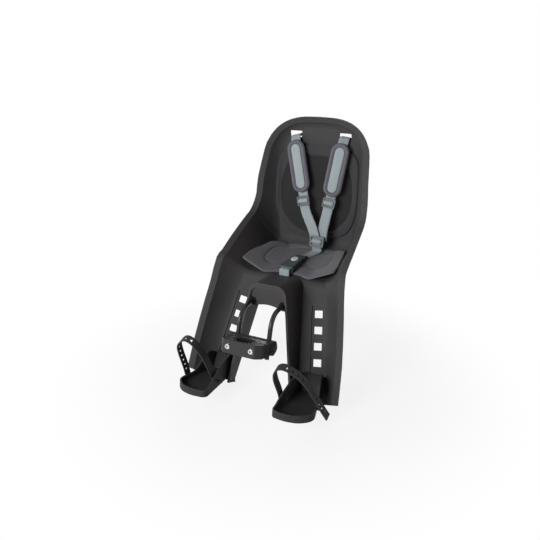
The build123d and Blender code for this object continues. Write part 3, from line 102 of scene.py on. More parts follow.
Colour = tuple[float, float, float]
Ring = list[Vector]


class Side(Enum):
    """The child's two sides, with the sign of x on each."""

    LEFT = 1
    RIGHT = -1

    @property
    def word(self) -> str:
        """The side's word in piece names."""
        return self.name.lower()


class Fill(Enum):
    """How full a padded piece is."""

    FOAM = 0.8
    SOFT = 0.6


class Signal:
    """An output socket that can be used in arithmetic."""

    def __init__(self, graph: "Graph", socket: bpy.types.NodeSocket | None) -> None:
        """Keep the socket, if the node has one, and the graph that it belongs to."""
        self.graph = graph
        self.socket = socket

    def math(self, operation: str, *others: "Signal | float") -> "Signal":
        """Run one Math operation with this signal first.

        Args:
            operation: the Math node's operation.
            others: the second and third operands.

        Returns:
            The node's result.
        """
        operands = dict(enumerate((self, *others)))
        return self.graph.node("ShaderNodeMath", {"operation": operation}, operands)

    def __add__(self, other: "Signal | float") -> "Signal":
        """Give self + other."""
        return self.math("ADD", other)

    __radd__ = __add__

    def __sub__(self, other: "Signal | float") -> "Signal":
        """Give self - other."""
        return self.math("SUBTRACT", other)

    def __rsub__(self, other: float) -> "Signal":
        """Give other - self."""
        return self.graph.node("ShaderNodeMath", {"operation": "SUBTRACT"}, {0: other, 1: self})

    def __mul__(self, other: "Signal | float") -> "Signal":
        """Give self * other."""
        return self.math("MULTIPLY", other)

    __rmul__ = __mul__

    def smooth_step(self, low: float, high: float) -> "Signal":
        """Rise softly from 0 at low to 1 at high."""
        return self.graph.node(
            "ShaderNodeMapRange",
            {"interpolation_type": "SMOOTHSTEP"},
            {0: self, 1: low, 2: high, 3: 0.0, 4: 1.0},
        )


class Graph:
    """The node tree of one material or world."""

    def __init__(self, owner: bpy.types.Material | bpy.types.World) -> None:
        """Empty the owner's tree.

        Args:
            owner: the material or world.
        """
        owner.use_nodes = True
        self.owner = owner
        self.tree = owner.node_tree
        self.tree.nodes.clear()

    @classmethod
    def of_material(cls, name: str) -> "Graph":
        """Start the tree of a new material."""
        return cls(bpy.data.materials.new(name))

    def node(
        self,
        kind: str,
        settings: dict[str, object] | None = None,
        inputs: dict[int | str, object] | None = None,
        output: int | str = 0,
    ) -> Signal:
        """Add any node.

        Args:
            kind: the node's type.
            settings: its properties, set before its sockets.
            inputs: values or signals for its sockets, by index or name.
            output: the socket to give back.

        Returns:
            The chosen output.
        """
        made = self.tree.nodes.new(kind)
        for key, value in (settings or {}).items():
            setattr(made, key, value)
        for key, value in (inputs or {}).items():
            if isinstance(value, Signal):
                self.tree.links.new(value.socket, made.inputs[key])
            else:
                made.inputs[key].default_value = value
        return Signal(self, made.outputs[output] if made.outputs else None)

    def place(self) -> Signal:
        """Give the place on the piece, in metres."""
        return self.node("ShaderNodeTexCoord", output="Object")

    def noise(self, scale: float, detail: float = 2.0, roughness: float = 0.5) -> Signal:
        """Give a soft noise of the piece's place, with scale features in a metre."""
        return self.node(
            "ShaderNodeTexNoise",
            inputs={"Vector": self.place(), "Scale": scale, "Detail": detail, "Roughness": roughness},
        )

    def cells(self, scale: float) -> Signal:
        """Give the distance in a pattern of cells, with scale cells in a metre."""
        return self.node(
            "ShaderNodeTexVoronoi", inputs={"Vector": self.place(), "Scale": scale}, output="Distance"
        )

    def weave_axes(self) -> tuple[Signal, Signal]:
        """Find a place on a piece's cloth.

        Returns:
            The runs across and along the cloth, in metres.
        """
        uv = self.node("ShaderNodeTexCoord", output="UV")
        kind = "ShaderNodeSeparateXYZ"
        return self.node(kind, inputs={0: uv}, output=0), self.node(kind, inputs={0: uv}, output=1)

    def tint(self, factor: Signal, low: Signal | Colour, high: Colour) -> Signal:
        """Mix two colours by a factor.

        Args:
            factor: 0 for the first colour, 1 for the second.
            low: the first colour, which may vary itself.
            high: the second colour.

        Returns:
            The mixed colour.
        """
        first = low if isinstance(low, Signal) else (*low, 1.0)
        return self.node("ShaderNodeMix", {"data_type": "RGBA"}, {0: factor, 6: first, 7: (*high, 1.0)}, 2)

    def seen(self) -> Signal:
        """Tell the rays that show a surface from those that only light it.

        Returns:
            1 for camera, glossy and transmission rays and 0 for the rest.
        """
        kinds = ("Is Camera Ray", "Is Glossy Ray", "Is Transmission Ray")
        camera, glossy, through = (self.node("ShaderNodeLightPath", output=kind) for kind in kinds)
        return camera.math("MAXIMUM", glossy).math("MAXIMUM", through)

    def relief(self, height: Signal, depth: float, base: Signal | None = None) -> Signal:
        """Turn a height into a bumped normal.

        Args:
            height: the height, from 0 to 1.
            depth: what a height of 1 is in metres.
            base: the normal that is bumped, where it isn't the surface's own.

        Returns:
            The bumped normal.
        """
        inputs: dict[int | str, object] = {"Distance": depth, "Height": height}
        if base:
            inputs["Normal"] = base
        return self.node("ShaderNodeBump", inputs=inputs, output="Normal")

    def eased_edges(self, radius: float) -> Signal:
        """Give the normal of edges that are rounded by a radius in metres."""
        return self.node("ShaderNodeBevel", {"samples": EDGE_SAMPLES}, {"Radius": radius})

    def painted_edge_highlight(self, eased: Signal) -> Signal:
        """Find the sharp edges, where a highlight is painted.

        Args:
            eased: the normal with rounded edges.

        Returns:
            1 on sharp edges and 0 away from them.
        """
        flat = self.node("ShaderNodeNewGeometry", output="Normal")
        along = self.node("ShaderNodeVectorMath", {"operation": "DOT_PRODUCT"}, {0: eased, 1: flat}, "Value")
        return (1 - along).smooth_step(*EDGE_TURN)

    def finish(self, inputs: dict[str, object]) -> bpy.types.Material:
        """Close the tree with a Principled shader.

        Args:
            inputs: its sockets' values or signals.

        Returns:
            The material.
        """
        shader = self.node("ShaderNodeBsdfPrincipled", inputs=inputs)
        self.node("ShaderNodeOutputMaterial", inputs={"Surface": shader})
        return self.owner


def shade(colour: Colour, factor: float) -> Colour:
    """Scale a colour."""
    return tuple(channel * factor for channel in colour)


@dataclass(frozen=True)
class MouldedPlastic:
    """Black injection-moulded plastic with a spark-eroded grain, faint scuffs and a painted highlight along
    sharp edges.
    """

    name: str
    colour: Colour
    roughness: float = 0.5
    specular: float = 0.3
    grain: float = 1400.0
    grain_depth: float = 0.00006
    mottle: float = 0.12
    edge: float = 0.0
    highlight_share: float = 0.7
    highlight_lift: float = 3.4
    edge_polish: float = 0.1
    cloud_scale: float = 9.0
    scuff_scale: float = 160.0
    scuff_range: tuple[float, float] = (0.6, 0.8)
    scuff_tone: float = 0.2
    scuff_dulling: float = 0.08
    grain_dulling: float = 0.06
    mean_dulling: float = 0.04

    def make(self) -> bpy.types.Material:
        """Build the material.

        Returns:
            The material.
        """
        graph = Graph.of_material(self.name)
        grain = graph.cells(self.grain)
        cloud = graph.noise(self.cloud_scale, detail=3.0)
        scuff = graph.noise(self.scuff_scale, detail=4.0, roughness=0.7).smooth_step(*self.scuff_range)
        tone = (1 - self.scuff_tone) * cloud + self.scuff_tone * scuff
        colour = graph.tint(tone, shade(self.colour, 1 - self.mottle), shade(self.colour, 1 + self.mottle))
        dulling = self.scuff_dulling * scuff + self.grain_dulling * grain
        roughness = self.roughness - self.mean_dulling + dulling
        eased: Signal | None = None
        if self.edge:
            eased = graph.eased_edges(self.edge)
            edge_highlight = graph.painted_edge_highlight(eased)
            # Painted highlight: the colour is lightened along sharp edges, where rounded edges would catch
            # the light.
            colour = graph.tint(edge_highlight * self.highlight_share, colour, shade(self.colour, self.highlight_lift))
            roughness = roughness - edge_highlight * self.edge_polish
        return graph.finish({
            "Base Color": colour,
            "Roughness": roughness,
            "Specular IOR Level": self.specular,
            "Normal": graph.relief(grain, self.grain_depth, eased),
        })


@dataclass(frozen=True)
class FoamSkin:
    """Closed-cell foam with a fine fabric face."""

    name: str
    colour: Colour
    roughness: float = 0.85
    specular: float = 0.2
    pores: float = 900.0
    pore_depth: float = 0.00016
    lump_scale: float = 120.0
    lump_height: float = 0.8
    tone_shares: tuple[float, float] = (0.6, 0.5)
    tones: tuple[float, float] = (0.82, 1.16)
    dulling: float = 0.1
    sheen: tuple[float, float] = (0.15, 0.5)

    def make(self) -> bpy.types.Material:
        """Build the material.

        Returns:
            The material.
        """
        graph = Graph.of_material(self.name)
        pores = graph.cells(self.pores)
        lumps = graph.noise(self.lump_scale, detail=3.0, roughness=0.6)
        tone = self.tone_shares[0] * lumps + self.tone_shares[1] * pores
        colour = graph.tint(tone, *(shade(self.colour, factor) for factor in self.tones))
        return graph.finish({
            "Base Color": colour,
            "Roughness": self.roughness + self.dulling * (pores - 0.5),
            "Specular IOR Level": self.specular,
            "Sheen Weight": self.sheen[0],
            "Sheen Roughness": self.sheen[1],
            "Normal": graph.relief(pores + self.lump_height * lumps, self.pore_depth),
        })


@dataclass(frozen=True)
class WovenCloth:
    """Plain-woven polyester of webbing and patches, its threads along the piece's own axes."""

    name: str
    colour: Colour
    warp: float = 0.0016
    weft: float = 0.0013
    depth: float = 0.0003
    roughness: float = 0.75
    stripe: float = 0.0
    stripe_blur: float = 0.0006
    stripe_tone: float = 0.35
    fibre_scale: float = 2600.0
    fibre_share: float = 0.3
    tones: tuple[float, float] = (0.72, 1.16)
    dulling: float = 0.12
    specular: float = 0.25
    sheen: tuple[float, float] = (0.2, 0.4)

    def make(self) -> bpy.types.Material:
        """Build the material.

        Returns:
            The material.
        """
        graph = Graph.of_material(self.name)
        across, along = graph.weave_axes()
        warp = (across * (2 * math.pi / self.warp)).math("SINE")
        weft = (along * (2 * math.pi / self.weft)).math("SINE")
        threads = 0.5 + 0.5 * (warp * weft)
        fibre = graph.noise(self.fibre_scale)
        tone = (1 - self.fibre_share) * threads + self.fibre_share * fibre
        if self.stripe:
            inner, outer = self.stripe - self.stripe_blur, self.stripe + self.stripe_blur
            edge = across.math("ABSOLUTE").smooth_step(inner, outer)
            tone = tone - self.stripe_tone * edge
        colour = graph.tint(tone, *(shade(self.colour, factor) for factor in self.tones))
        return graph.finish({
            "Base Color": colour,
            "Roughness": self.roughness + self.dulling * (fibre - 0.5),
            "Specular IOR Level": self.specular,
            "Sheen Weight": self.sheen[0],
            "Sheen Roughness": self.sheen[1],
            "Normal": graph.relief(threads + self.fibre_share * fibre, self.depth),
        })


@dataclass(frozen=True)
class PlatedSteel:
    """Zinc-plated steel, slightly clouded."""

    name: str
    colour: Colour
    roughness: float = 0.32
    cloud_scale: float = 260.0
    cloud_depth: float = 0.00004
    tones: tuple[float, float] = (0.75, 1.1)
    dulling: float = 0.2

    def make(self) -> bpy.types.Material:
        """Build the material.

        Returns:
            The material.
        """
        graph = Graph.of_material(self.name)
        cloud = graph.noise(self.cloud_scale, detail=4.0, roughness=0.65)
        colour = graph.tint(cloud, *(shade(self.colour, factor) for factor in self.tones))
        return graph.finish({
            "Base Color": colour,
            "Metallic": 1.0,
            "Roughness": self.roughness + self.dulling * (cloud - 0.5),
            "Normal": graph.relief(cloud, self.cloud_depth),
        })


@dataclass(frozen=True)
class PowderCoat:
    """Black powder coat on steel, with a fine orange peel."""

    name: str
    colour: Colour
    roughness: float = 0.3
    specular: float = 0.3
    peel_scale: float = 700.0
    peel_depth: float = 0.00005
    chalk_scale: float = 40.0
    tones: tuple[float, float] = (0.85, 1.2)
    dulling: float = 0.12

    def make(self) -> bpy.types.Material:
        """Build the material.

        Returns:
            The material.
        """
        graph = Graph.of_material(self.name)
        peel = graph.noise(self.peel_scale)
        chalk = graph.noise(self.chalk_scale, detail=3.0)
        colour = graph.tint(chalk, *(shade(self.colour, factor) for factor in self.tones))
        return graph.finish({
            "Base Color": colour,
            "Roughness": self.roughness + self.dulling * (chalk - 0.5),
            "Specular IOR Level": self.specular,
            "Normal": graph.relief(peel, self.peel_depth),
        })


class Finish(Enum):
    """The finishes of the seat's pieces; each value builds its material."""

    # SHELL, CLAMP and FOOTREST set edge: rounded-edge normals and a painted highlight along their sharp
    # edges.
    SHELL = MouldedPlastic("shell_plastic", (0.062, 0.06, 0.061), 0.5, 0.04, edge=0.0015)
    CLAMP = MouldedPlastic("clamp_plastic", (0.04, 0.039, 0.04), 0.46, 0.09, 1800.0, edge=0.0007)
    SLEEVE = MouldedPlastic("sleeve_plastic", (0.012, 0.012, 0.012), 0.5, 0.06, 1800.0)
    FOOTREST = MouldedPlastic("footrest_plastic", (0.044, 0.043, 0.043), 0.52, 0.03, edge=0.0009)
    BUTTON = MouldedPlastic("release_plastic", (0.03, 0.03, 0.031), 0.42, 0.2, 2200.0)
    HARDWARE = MouldedPlastic("harness_hardware", (0.074, 0.092, 0.095), 0.4, 0.25, 2200.0, 0.00003)
    BUCKLE_BUTTON = MouldedPlastic("buckle_button_plastic", (0.66, 0.71, 0.73), 0.4, 0.3, 2400.0, 0.00003)
    RUBBER = MouldedPlastic("strap_rubber", (0.052, 0.052, 0.053), 0.6, 0.06, 1100.0, 0.00008)
    LINER = MouldedPlastic("liner_rubber", (0.02, 0.02, 0.02), 0.7, 0.1, 900.0, 0.0001)
    # Seat and back pads are the same foam; the seat's colour is painted lighter than the back's, standing in
    # for light from above.
    SEAT_FOAM_PAINTED_LIGHTER = FoamSkin("seat_foam_painted_lighter", (0.118, 0.117, 0.128))
    BACK_FOAM = FoamSkin("back_foam", (0.047, 0.046, 0.049))
    BACK_PANEL = FoamSkin("back_panel_foam", (0.024, 0.024, 0.025))
    SHOULDER_PAD = FoamSkin("shoulder_foam", (0.118, 0.119, 0.142), 0.8, 0.15, 1100.0)
    WEBBING = WovenCloth("harness_webbing", (0.33, 0.385, 0.4), stripe=0.0105)
    PATCH = WovenCloth("patch_cloth", (0.33, 0.39, 0.4), 0.0014, 0.0014, 0.0002)
    ZINC = PlatedSteel("zinc_plate", (0.4, 0.43, 0.44), 0.3)
    BAR = PowderCoat("bar_coat", (0.012, 0.012, 0.013), 0.28)


class Paint:
    """Hands out each finish's material, made once."""

    def __init__(self) -> None:
        """Start with no material made."""
        self.made: dict[Finish, bpy.types.Material] = {}

    def material(self, finish: Finish) -> bpy.types.Material:
        """Give a finish's material."""
        if finish not in self.made:
            self.made[finish] = finish.value.make()
        return self.made[finish]

    def coat(self, piece: bpy.types.Object, finish: Finish) -> bpy.types.Object:
        """Put a finish on the whole of a piece.

        Args:
            piece: the piece.
            finish: its finish.

        Returns:
            The same piece.
        """
        piece.data.materials.clear()
        piece.data.materials.append(self.material(finish))
        return piece


def mesh_piece(
    name: str,
    points: Sequence[Vector],
    faces: Sequence[Sequence[int]],
    uv: Sequence[tuple[float, float]] | None = None,
) -> bpy.types.Object:
    """Make a smooth-shaded mesh object.

    Args:
        name: the piece's name.
        points: its points in metres.
        faces: its faces as point numbers.
        uv: the cloth's own place of each point, in metres.

    Returns:
        The object, linked to the scene.
    """
    mesh = bpy.data.meshes.new(name)
    mesh.from_pydata([tuple(point) for point in points], [], faces)
    mesh.polygons.foreach_set("use_smooth", [True] * len(mesh.polygons))
    if uv:
        layer = mesh.uv_layers.new(name="cloth")
        for loop in mesh.loops:
            layer.data[loop.index].uv = uv[loop.vertex_index]
    mesh.update()
    piece = bpy.data.objects.new(name, mesh)
    bpy.context.scene.collection.objects.link(piece)
    return piece


def ring_piece(
    name: str, rings: Sequence[Ring], uv: Sequence[Sequence[tuple[float, float]]] | None = None
) -> bpy.types.Object:
    """Skin closed rings of equal count and close both ends.

    Args:
        name: the piece's name.
        rings: the rings, from the underside to the crown.
        uv: the cloth's own place of each ring point.

    Returns:
        The object.
    """
    count = len(rings[0])
    points = [point for ring in rings for point in ring]
    faces: list[list[int]] = []
    for row in range(len(rings) - 1):
        for step in range(count):
            after = (step + 1) % count
            low = row * count
            faces.append([low + step, low + after, low + count + after, low + count + step])
    faces.append(list(range(count - 1, -1, -1)))
    last = (len(rings) - 1) * count
    faces.append([last + step for step in range(count)])
    flat = [place for ring in uv for place in ring] if uv else None
    return mesh_piece(name, points, faces, flat)


def soften(piece: bpy.types.Object) -> None:
    """Add one level of subdivision surface to a piece."""
    modifier = piece.modifiers.new("soft", "SUBSURF")
    modifier.levels = modifier.render_levels = 1


def rounded_path(corners: Sequence[Vector], bend: float, span: float = 6.0 * MM) -> list[Vector]:
    """Follow a line with its corners rounded.

    Args:
        corners: the line's points in metres.
        bend: how far before a corner its curve begins.
        span: the longest straight step.

    Returns:
        Points close enough together for a smooth strap.
    """
    path = [corners[0]]

    def run_to(end: Vector) -> None:
        """Add points of a straight run.

        Args:
            end: the run's last point.
        """
        start = path[-1]
        count = max(1, math.ceil((end - start).length / span))
        path.extend(start.lerp(end, step / count) for step in range(1, count + 1))

    for before, corner, after in zip(corners, corners[1:], corners[2:]):
        shorter = min((corner - before).length, (after - corner).length)
        reach = min(bend, CORNER_SHARE * shorter)
        start = corner + (before - corner).normalized() * reach
        end = corner + (after - corner).normalized() * reach
        run_to(start)
        for step in range(1, CORNER_STEPS + 1):
            share = step / CORNER_STEPS
            path.append(start.lerp(corner, share).lerp(corner.lerp(end, share), share))
    run_to(corners[-1])
    return path


@dataclass
class Ribbon:
    """A strap of woven webbing along a path."""

    name: str
    path: list[Vector]
    across: Vector
    width: float = 25 * MM
    thick: float = 1.6 * MM
    columns: int = 9
    thinning: float = 0.55
    thinning_power: int = 8

    def build(self) -> bpy.types.Object:
        """Skin the strap, with soft selvedges.

        Returns:
            The strap, its cloth's axes across and along it.
        """
        rings: list[Ring] = []
        places: list[list[tuple[float, float]]] = []
        run = 0.0
        for index, centre in enumerate(self.path):
            ahead = self.path[min(index + 1, len(self.path) - 1)]
            behind = self.path[max(index - 1, 0)]
            heading = (ahead - behind).normalized()
            run += (centre - behind).length if index else 0.0
            side = (self.across - heading * self.across.dot(heading)).normalized()
            lift = side.cross(heading)
            ring: Ring = []
            place: list[tuple[float, float]] = []
            for face in (1, -1):
                for column in range(self.columns):
                    share = face * (1 - 2 * column / (self.columns - 1))
                    crown = 1 - self.thinning * abs(share) ** self.thinning_power
                    half = self.width / 2 * share
                    ring.append(centre + side * half + lift * (face * self.thick / 2 * crown))
                    place.append((half, run))
            rings.append(ring)
            places.append(place)
        return ring_piece(self.name, rings, places)


def eased_curve(start: Vector, start_pull: Vector, end_pull: Vector, end: Vector, steps: int) -> list[Vector]:
    """Follow a smooth curve that leaves and arrives in given directions.

    Args:
        start: its first point.
        start_pull: how it leaves the first point.
        end_pull: how it arrives at the last point.
        end: its last point.
        steps: how many points follow the first.

    Returns:
        The points, without the first.
    """
    near, far = start + start_pull, end - end_pull
    path: list[Vector] = []
    for step in range(1, steps + 1):
        share = step / steps
        rest = 1 - share
        path.append(
            start * rest**3 + near * (3 * rest**2 * share) + far * (3 * rest * share**2) + end * share**3
        )
    return path


class Ground:
    """The moulded shell's inner face, found by rays."""

    def __init__(self, shell: bpy.types.Object) -> None:
        """Sort the shell's faces for rays.

        Args:
            shell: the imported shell.
        """
        mesh = shell.data
        self.tree = BVHTree.FromPolygons(
            [vertex.co for vertex in mesh.vertices], [list(face.vertices) for face in mesh.polygons]
        )
        self.steepest = 0.15
        self.hole = 9.0 * MM

    def under(self, start: Vector, heading: Vector) -> Vector:
        """Give the shell's place along a ray, as if its screw holes were filled.

        Args:
            start: where the ray starts.
            heading: the ray's direction.

        Returns:
            The first place that the ray meets, or the middle of the places round a hole.
        """
        place, away, _, _ = self.tree.ray_cast(start, heading)
        if place is not None and abs(away.dot(heading)) > self.steepest:
            return place
        shifts = (ACROSS, ACROSS.cross(heading))
        around = [
            self.tree.ray_cast(start + shift * (sign * self.hole), heading)[0]
            for shift in shifts for sign in (1, -1)
        ]
        depths = [(found - start).dot(heading) for found in around if found is not None]
        return start + heading * (sum(depths) / len(depths))


@dataclass(frozen=True)
class WingPlan:
    """The stiff underside of a pad with raised wings, which bridges the shell's rounded corners."""

    flat: float = 50.0
    slope: float = 0.43
    bend: float = 14.0
    level: tuple[float, float] = (64.0, 0.0794)

    def height(self, x: float, y: float) -> float:
        """Find the underside's height at a place.

        Args:
            x: the place across the seat, in metres.
            y: the place along the seat, in metres.

        Returns:
            The height in metres.
        """
        out = max(abs(x) / MM - self.flat, 0.0)
        eased = out**2 / (2 * self.bend) if out < self.bend else out - self.bend / 2
        return (self.level[0] + self.level[1] * y / MM + self.slope * eased) * MM


@dataclass(frozen=True)
class Outline:
    """A closed smooth line that is the same on both sides, given by its half, in millimetres."""

    half: tuple[tuple[float, float], ...]
    fine: int = 12

    def line(self) -> list[Vector]:
        """Round the whole line.

        Returns:
            Places along the line, in millimetres.
        """
        mirrored = [(-x, y) for x, y in reversed(self.half) if x > 0]
        corners = [Vector(corner) for corner in (*self.half, *mirrored)]
        count = len(corners)
        line: list[Vector] = []
        for index in range(count):
            before, start, end, after = (corners[(index + shift) % count] for shift in (-1, 0, 1, 2))
            for step in range(self.fine):
                line.append(self.between(before, start, end, after, step / self.fine))
        return line

    @staticmethod
    def between(before: Vector, start: Vector, end: Vector, after: Vector, share: float) -> Vector:
        """Find a place on the smooth run between two corners.

        Args:
            before: the corner before the run.
            start: the run's first corner.
            end: the run's last corner.
            after: the corner after the run.
            share: how far along the run the place is, from 0 to 1.

        Returns:
            The place.
        """
        slope = end - before
        far_slope = after - start
        square, cube = share**2, share**3
        return (
            start * (2 * cube - 3 * square + 1)
            + slope * (0.5 * (cube - 2 * square + share))
            + end * (3 * square - 2 * cube)
            + far_slope * (0.5 * (cube - square))
        )

    def spokes(self, centre: Vector, count: int) -> list[Vector]:
        """Give the line's places on evenly turned spokes from a centre.

        Args:
            centre: where the spokes meet.
            count: how many spokes.

        Returns:
            One place for each spoke.
        """
        around = sorted(
            (math.atan2(place.y - centre.y, place.x - centre.x), (place - centre).length)
            for place in self.line()
        )
        first, last = around[0], around[-1]
        around = [(last[0] - 2 * math.pi, last[1]), *around, (first[0] + 2 * math.pi, first[1])]
        places: list[Vector] = []
        at = 0
        for spoke in range(count):
            angle = -math.pi + 2 * math.pi * spoke / count
            while around[at + 1][0] < angle:
                at += 1
            (low, near), (high, far) = around[at], around[at + 1]
            reach = near + (far - near) * (angle - low) / max(high - low, TINY)
            places.append(centre + Vector((math.cos(angle), math.sin(angle))) * reach)
        return places


@dataclass(frozen=True)
class Swelling:
    """Air pressure that rounds a sewn piece, run as cloth and kept."""

    cap: float
    pressure: float = 4.0
    frames: int = 20

    def fill(self, piece: bpy.types.Object, sewn: Sequence[int]) -> None:
        """Swell a piece between the points that stay sewn down.

        Args:
            piece: the closed mesh.
            sewn: the numbers of the points that do not move.
        """
        held = piece.vertex_groups.new(name="sewn")
        held.add(list(sewn), 1.0, "REPLACE")
        cloth = piece.modifiers.new("swell", "CLOTH")
        cloth.settings.use_pressure = True
        cloth.settings.uniform_pressure_force = self.pressure
        cloth.settings.vertex_group_mass = held.name
        cloth.settings.effector_weights.gravity = 0.0
        cloth.point_cache.frame_start = 1
        cloth.point_cache.frame_end = self.frames
        scene = bpy.context.scene
        for frame in range(1, self.frames + 1):
            scene.frame_set(frame)
        swollen = piece.evaluated_get(bpy.context.evaluated_depsgraph_get()).data
        for point, moved in zip(piece.data.vertices, swollen.vertices):
            shift = moved.co - point.co
            point.co += shift * min(1.0, self.cap / max(shift.length, TINY))
        piece.modifiers.remove(cloth)
        piece.vertex_groups.remove(held)
        scene.frame_set(1)


@dataclass(frozen=True)
class Layer:
    """One ring of a padded piece: how far out it lies, how high, and whether it is sewn down."""

    out: float
    height: float
    sewn: bool = False


@dataclass
class FoamPad:
    """A moulded foam pad that lies on the shell, with a pressed line inside its edge."""

    name: str
    node: str
    edge: Outline
    line: Outline
    middle: tuple[float, float]
    layers: tuple[Layer, ...]
    ray: Vector
    paint: Paint
    ground: Ground
    finish: Finish
    panel: Finish
    wings: WingPlan | None = None
    stand: float = 0.26
    swelling: Swelling = Swelling(1.6 * MM)
    spokes: int = 160
    smoothing: float = 5.0 * MM

    def flat_ring(self, layer: Layer) -> list[Vector]:
        """Find a ring's flat places.

        Args:
            layer: the ring, with out as 0 in the middle, 1 on the pressed line and 2 on the edge.

        Returns:
            The places in millimetres, one on each spoke.
        """
        centre = Vector(self.middle)
        inner = self.line.spokes(centre, self.spokes)
        if layer.out <= 1:
            return [centre.lerp(place, layer.out) for place in inner]
        outer = self.edge.spokes(centre, self.spokes)
        return [near.lerp(far, layer.out - 1) for near, far in zip(inner, outer)]

    def start(self, flat: Vector) -> Vector:
        """Find where a flat place's ray starts.

        Args:
            flat: the place in millimetres.

        Returns:
            The start in metres.
        """
        if self.ray.y:
            return Vector((flat.x * MM, self.stand, flat.y * MM))
        return Vector((flat.x * MM, flat.y * MM, self.stand))

    def rest(self, start: Vector) -> Vector:
        """Find the underside's place on a ray.

        Args:
            start: where the ray starts.

        Returns:
            The place on the shell, or higher where the pad's wings bridge it.
        """
        place = self.ground.under(start, self.ray)
        if self.wings:
            place.z = max(place.z, self.wings.height(place.x, place.y))
        return place

    def lift(self, flat: Vector, height: float) -> Vector:
        """Find a place off the pad's underside.

        Args:
            flat: the flat place in millimetres.
            height: how far off the underside, in millimetres.

        Returns:
            The place in metres.
        """
        start = self.start(flat)
        first = ACROSS * self.smoothing
        second = ACROSS.cross(self.ray) * self.smoothing
        one = self.rest(start + first) - self.rest(start - first)
        two = self.rest(start + second) - self.rest(start - second)
        away = one.cross(two).normalized()
        if away.dot(self.ray) > 0:
            away.negate()
        return self.rest(start) + away * (height * MM)

    def build(self) -> bpy.types.Object:
        """Lay the pad on the shell and swell it.

        Returns:
            The pad.
        """
        rings: list[Ring] = [
            [self.lift(flat, layer.height) for flat in self.flat_ring(layer)] for layer in self.layers
        ]
        pad = ring_piece(self.name, rings)
        sewn = [
            row * self.spokes + step
            for row, layer in enumerate(self.layers) if layer.sewn
            for step in range(self.spokes)
        ]
        self.swelling.fill(pad, sewn)
        soften(pad)
        return pad

    def dress(self) -> None:
        """Build the pad, colour it and put it in its place."""
        pad = self.paint.coat(self.build(), self.finish)
        pad.data.materials.append(self.paint.material(self.panel))
        line = max(row for row, layer in enumerate(self.layers) if layer.out >= 1)
        crown = len(pad.data.polygons) - 1
        for face in pad.data.polygons:
            inside = line * self.spokes <= face.index < (len(self.layers) - 1) * self.spokes
            face.material_index = int(inside or face.index == crown)
        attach(pad, "seat")
        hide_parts(self.node)
        LOG.info("built %s", self.name)


@dataclass(frozen=True)
class StrapLine:
    """Where one shoulder strap runs: its slot, its slope and what is threaded on it."""

    side: Side
    lean: float
    adjuster_at: float
    lower_end: tuple[float, float, float]
    slot_x: float = 63.0
    slot_y: float = 408.383
    slot_z: float = 377.0
    rise: float = 10.0
    start: tuple[float, float] = (20.0, 15.0)

    @property
    def forward(self) -> Vector:
        """The way out of the back."""
        return Vector((0, -1, 0))

    @property
    def down(self) -> Vector:
        """The strap's way down the back."""
        lean = math.radians(self.lean)
        return Vector((-self.side.value * math.sin(lean), 0, -math.cos(lean)))

    @property
    def along(self) -> Vector:
        """The way along the strap's straight run."""
        rise = math.radians(self.rise)
        return self.down * math.cos(rise) + self.forward * math.sin(rise)

    @property
    def off(self) -> Vector:
        """The way off the strap's front face."""
        rise = math.radians(self.rise)
        return self.forward * math.cos(rise) - self.down * math.sin(rise)

    @property
    def across(self) -> Vector:
        """The way across the strap."""
        return self.along.cross(self.off)

    @property
    def slot(self) -> Vector:
        """The middle of the strap's slot in the back."""
        return Vector((self.side.value * self.slot_x, self.slot_y, self.slot_z)) * MM

    def near_slot(self, down: float, forward: float) -> Vector:
        """Give a place by how far it is below and in front of the slot."""
        return self.slot + (self.down * down + self.forward * forward) * MM

    def on_strap(self, run: float, lift: float, aside: float = 0.0) -> Vector:
        """Give a place by its run down the strap, its lift off it and its shift across it."""
        top = self.near_slot(*self.start)
        return top + (self.along * (run - self.start[0]) + self.off * lift + self.across * aside) * MM


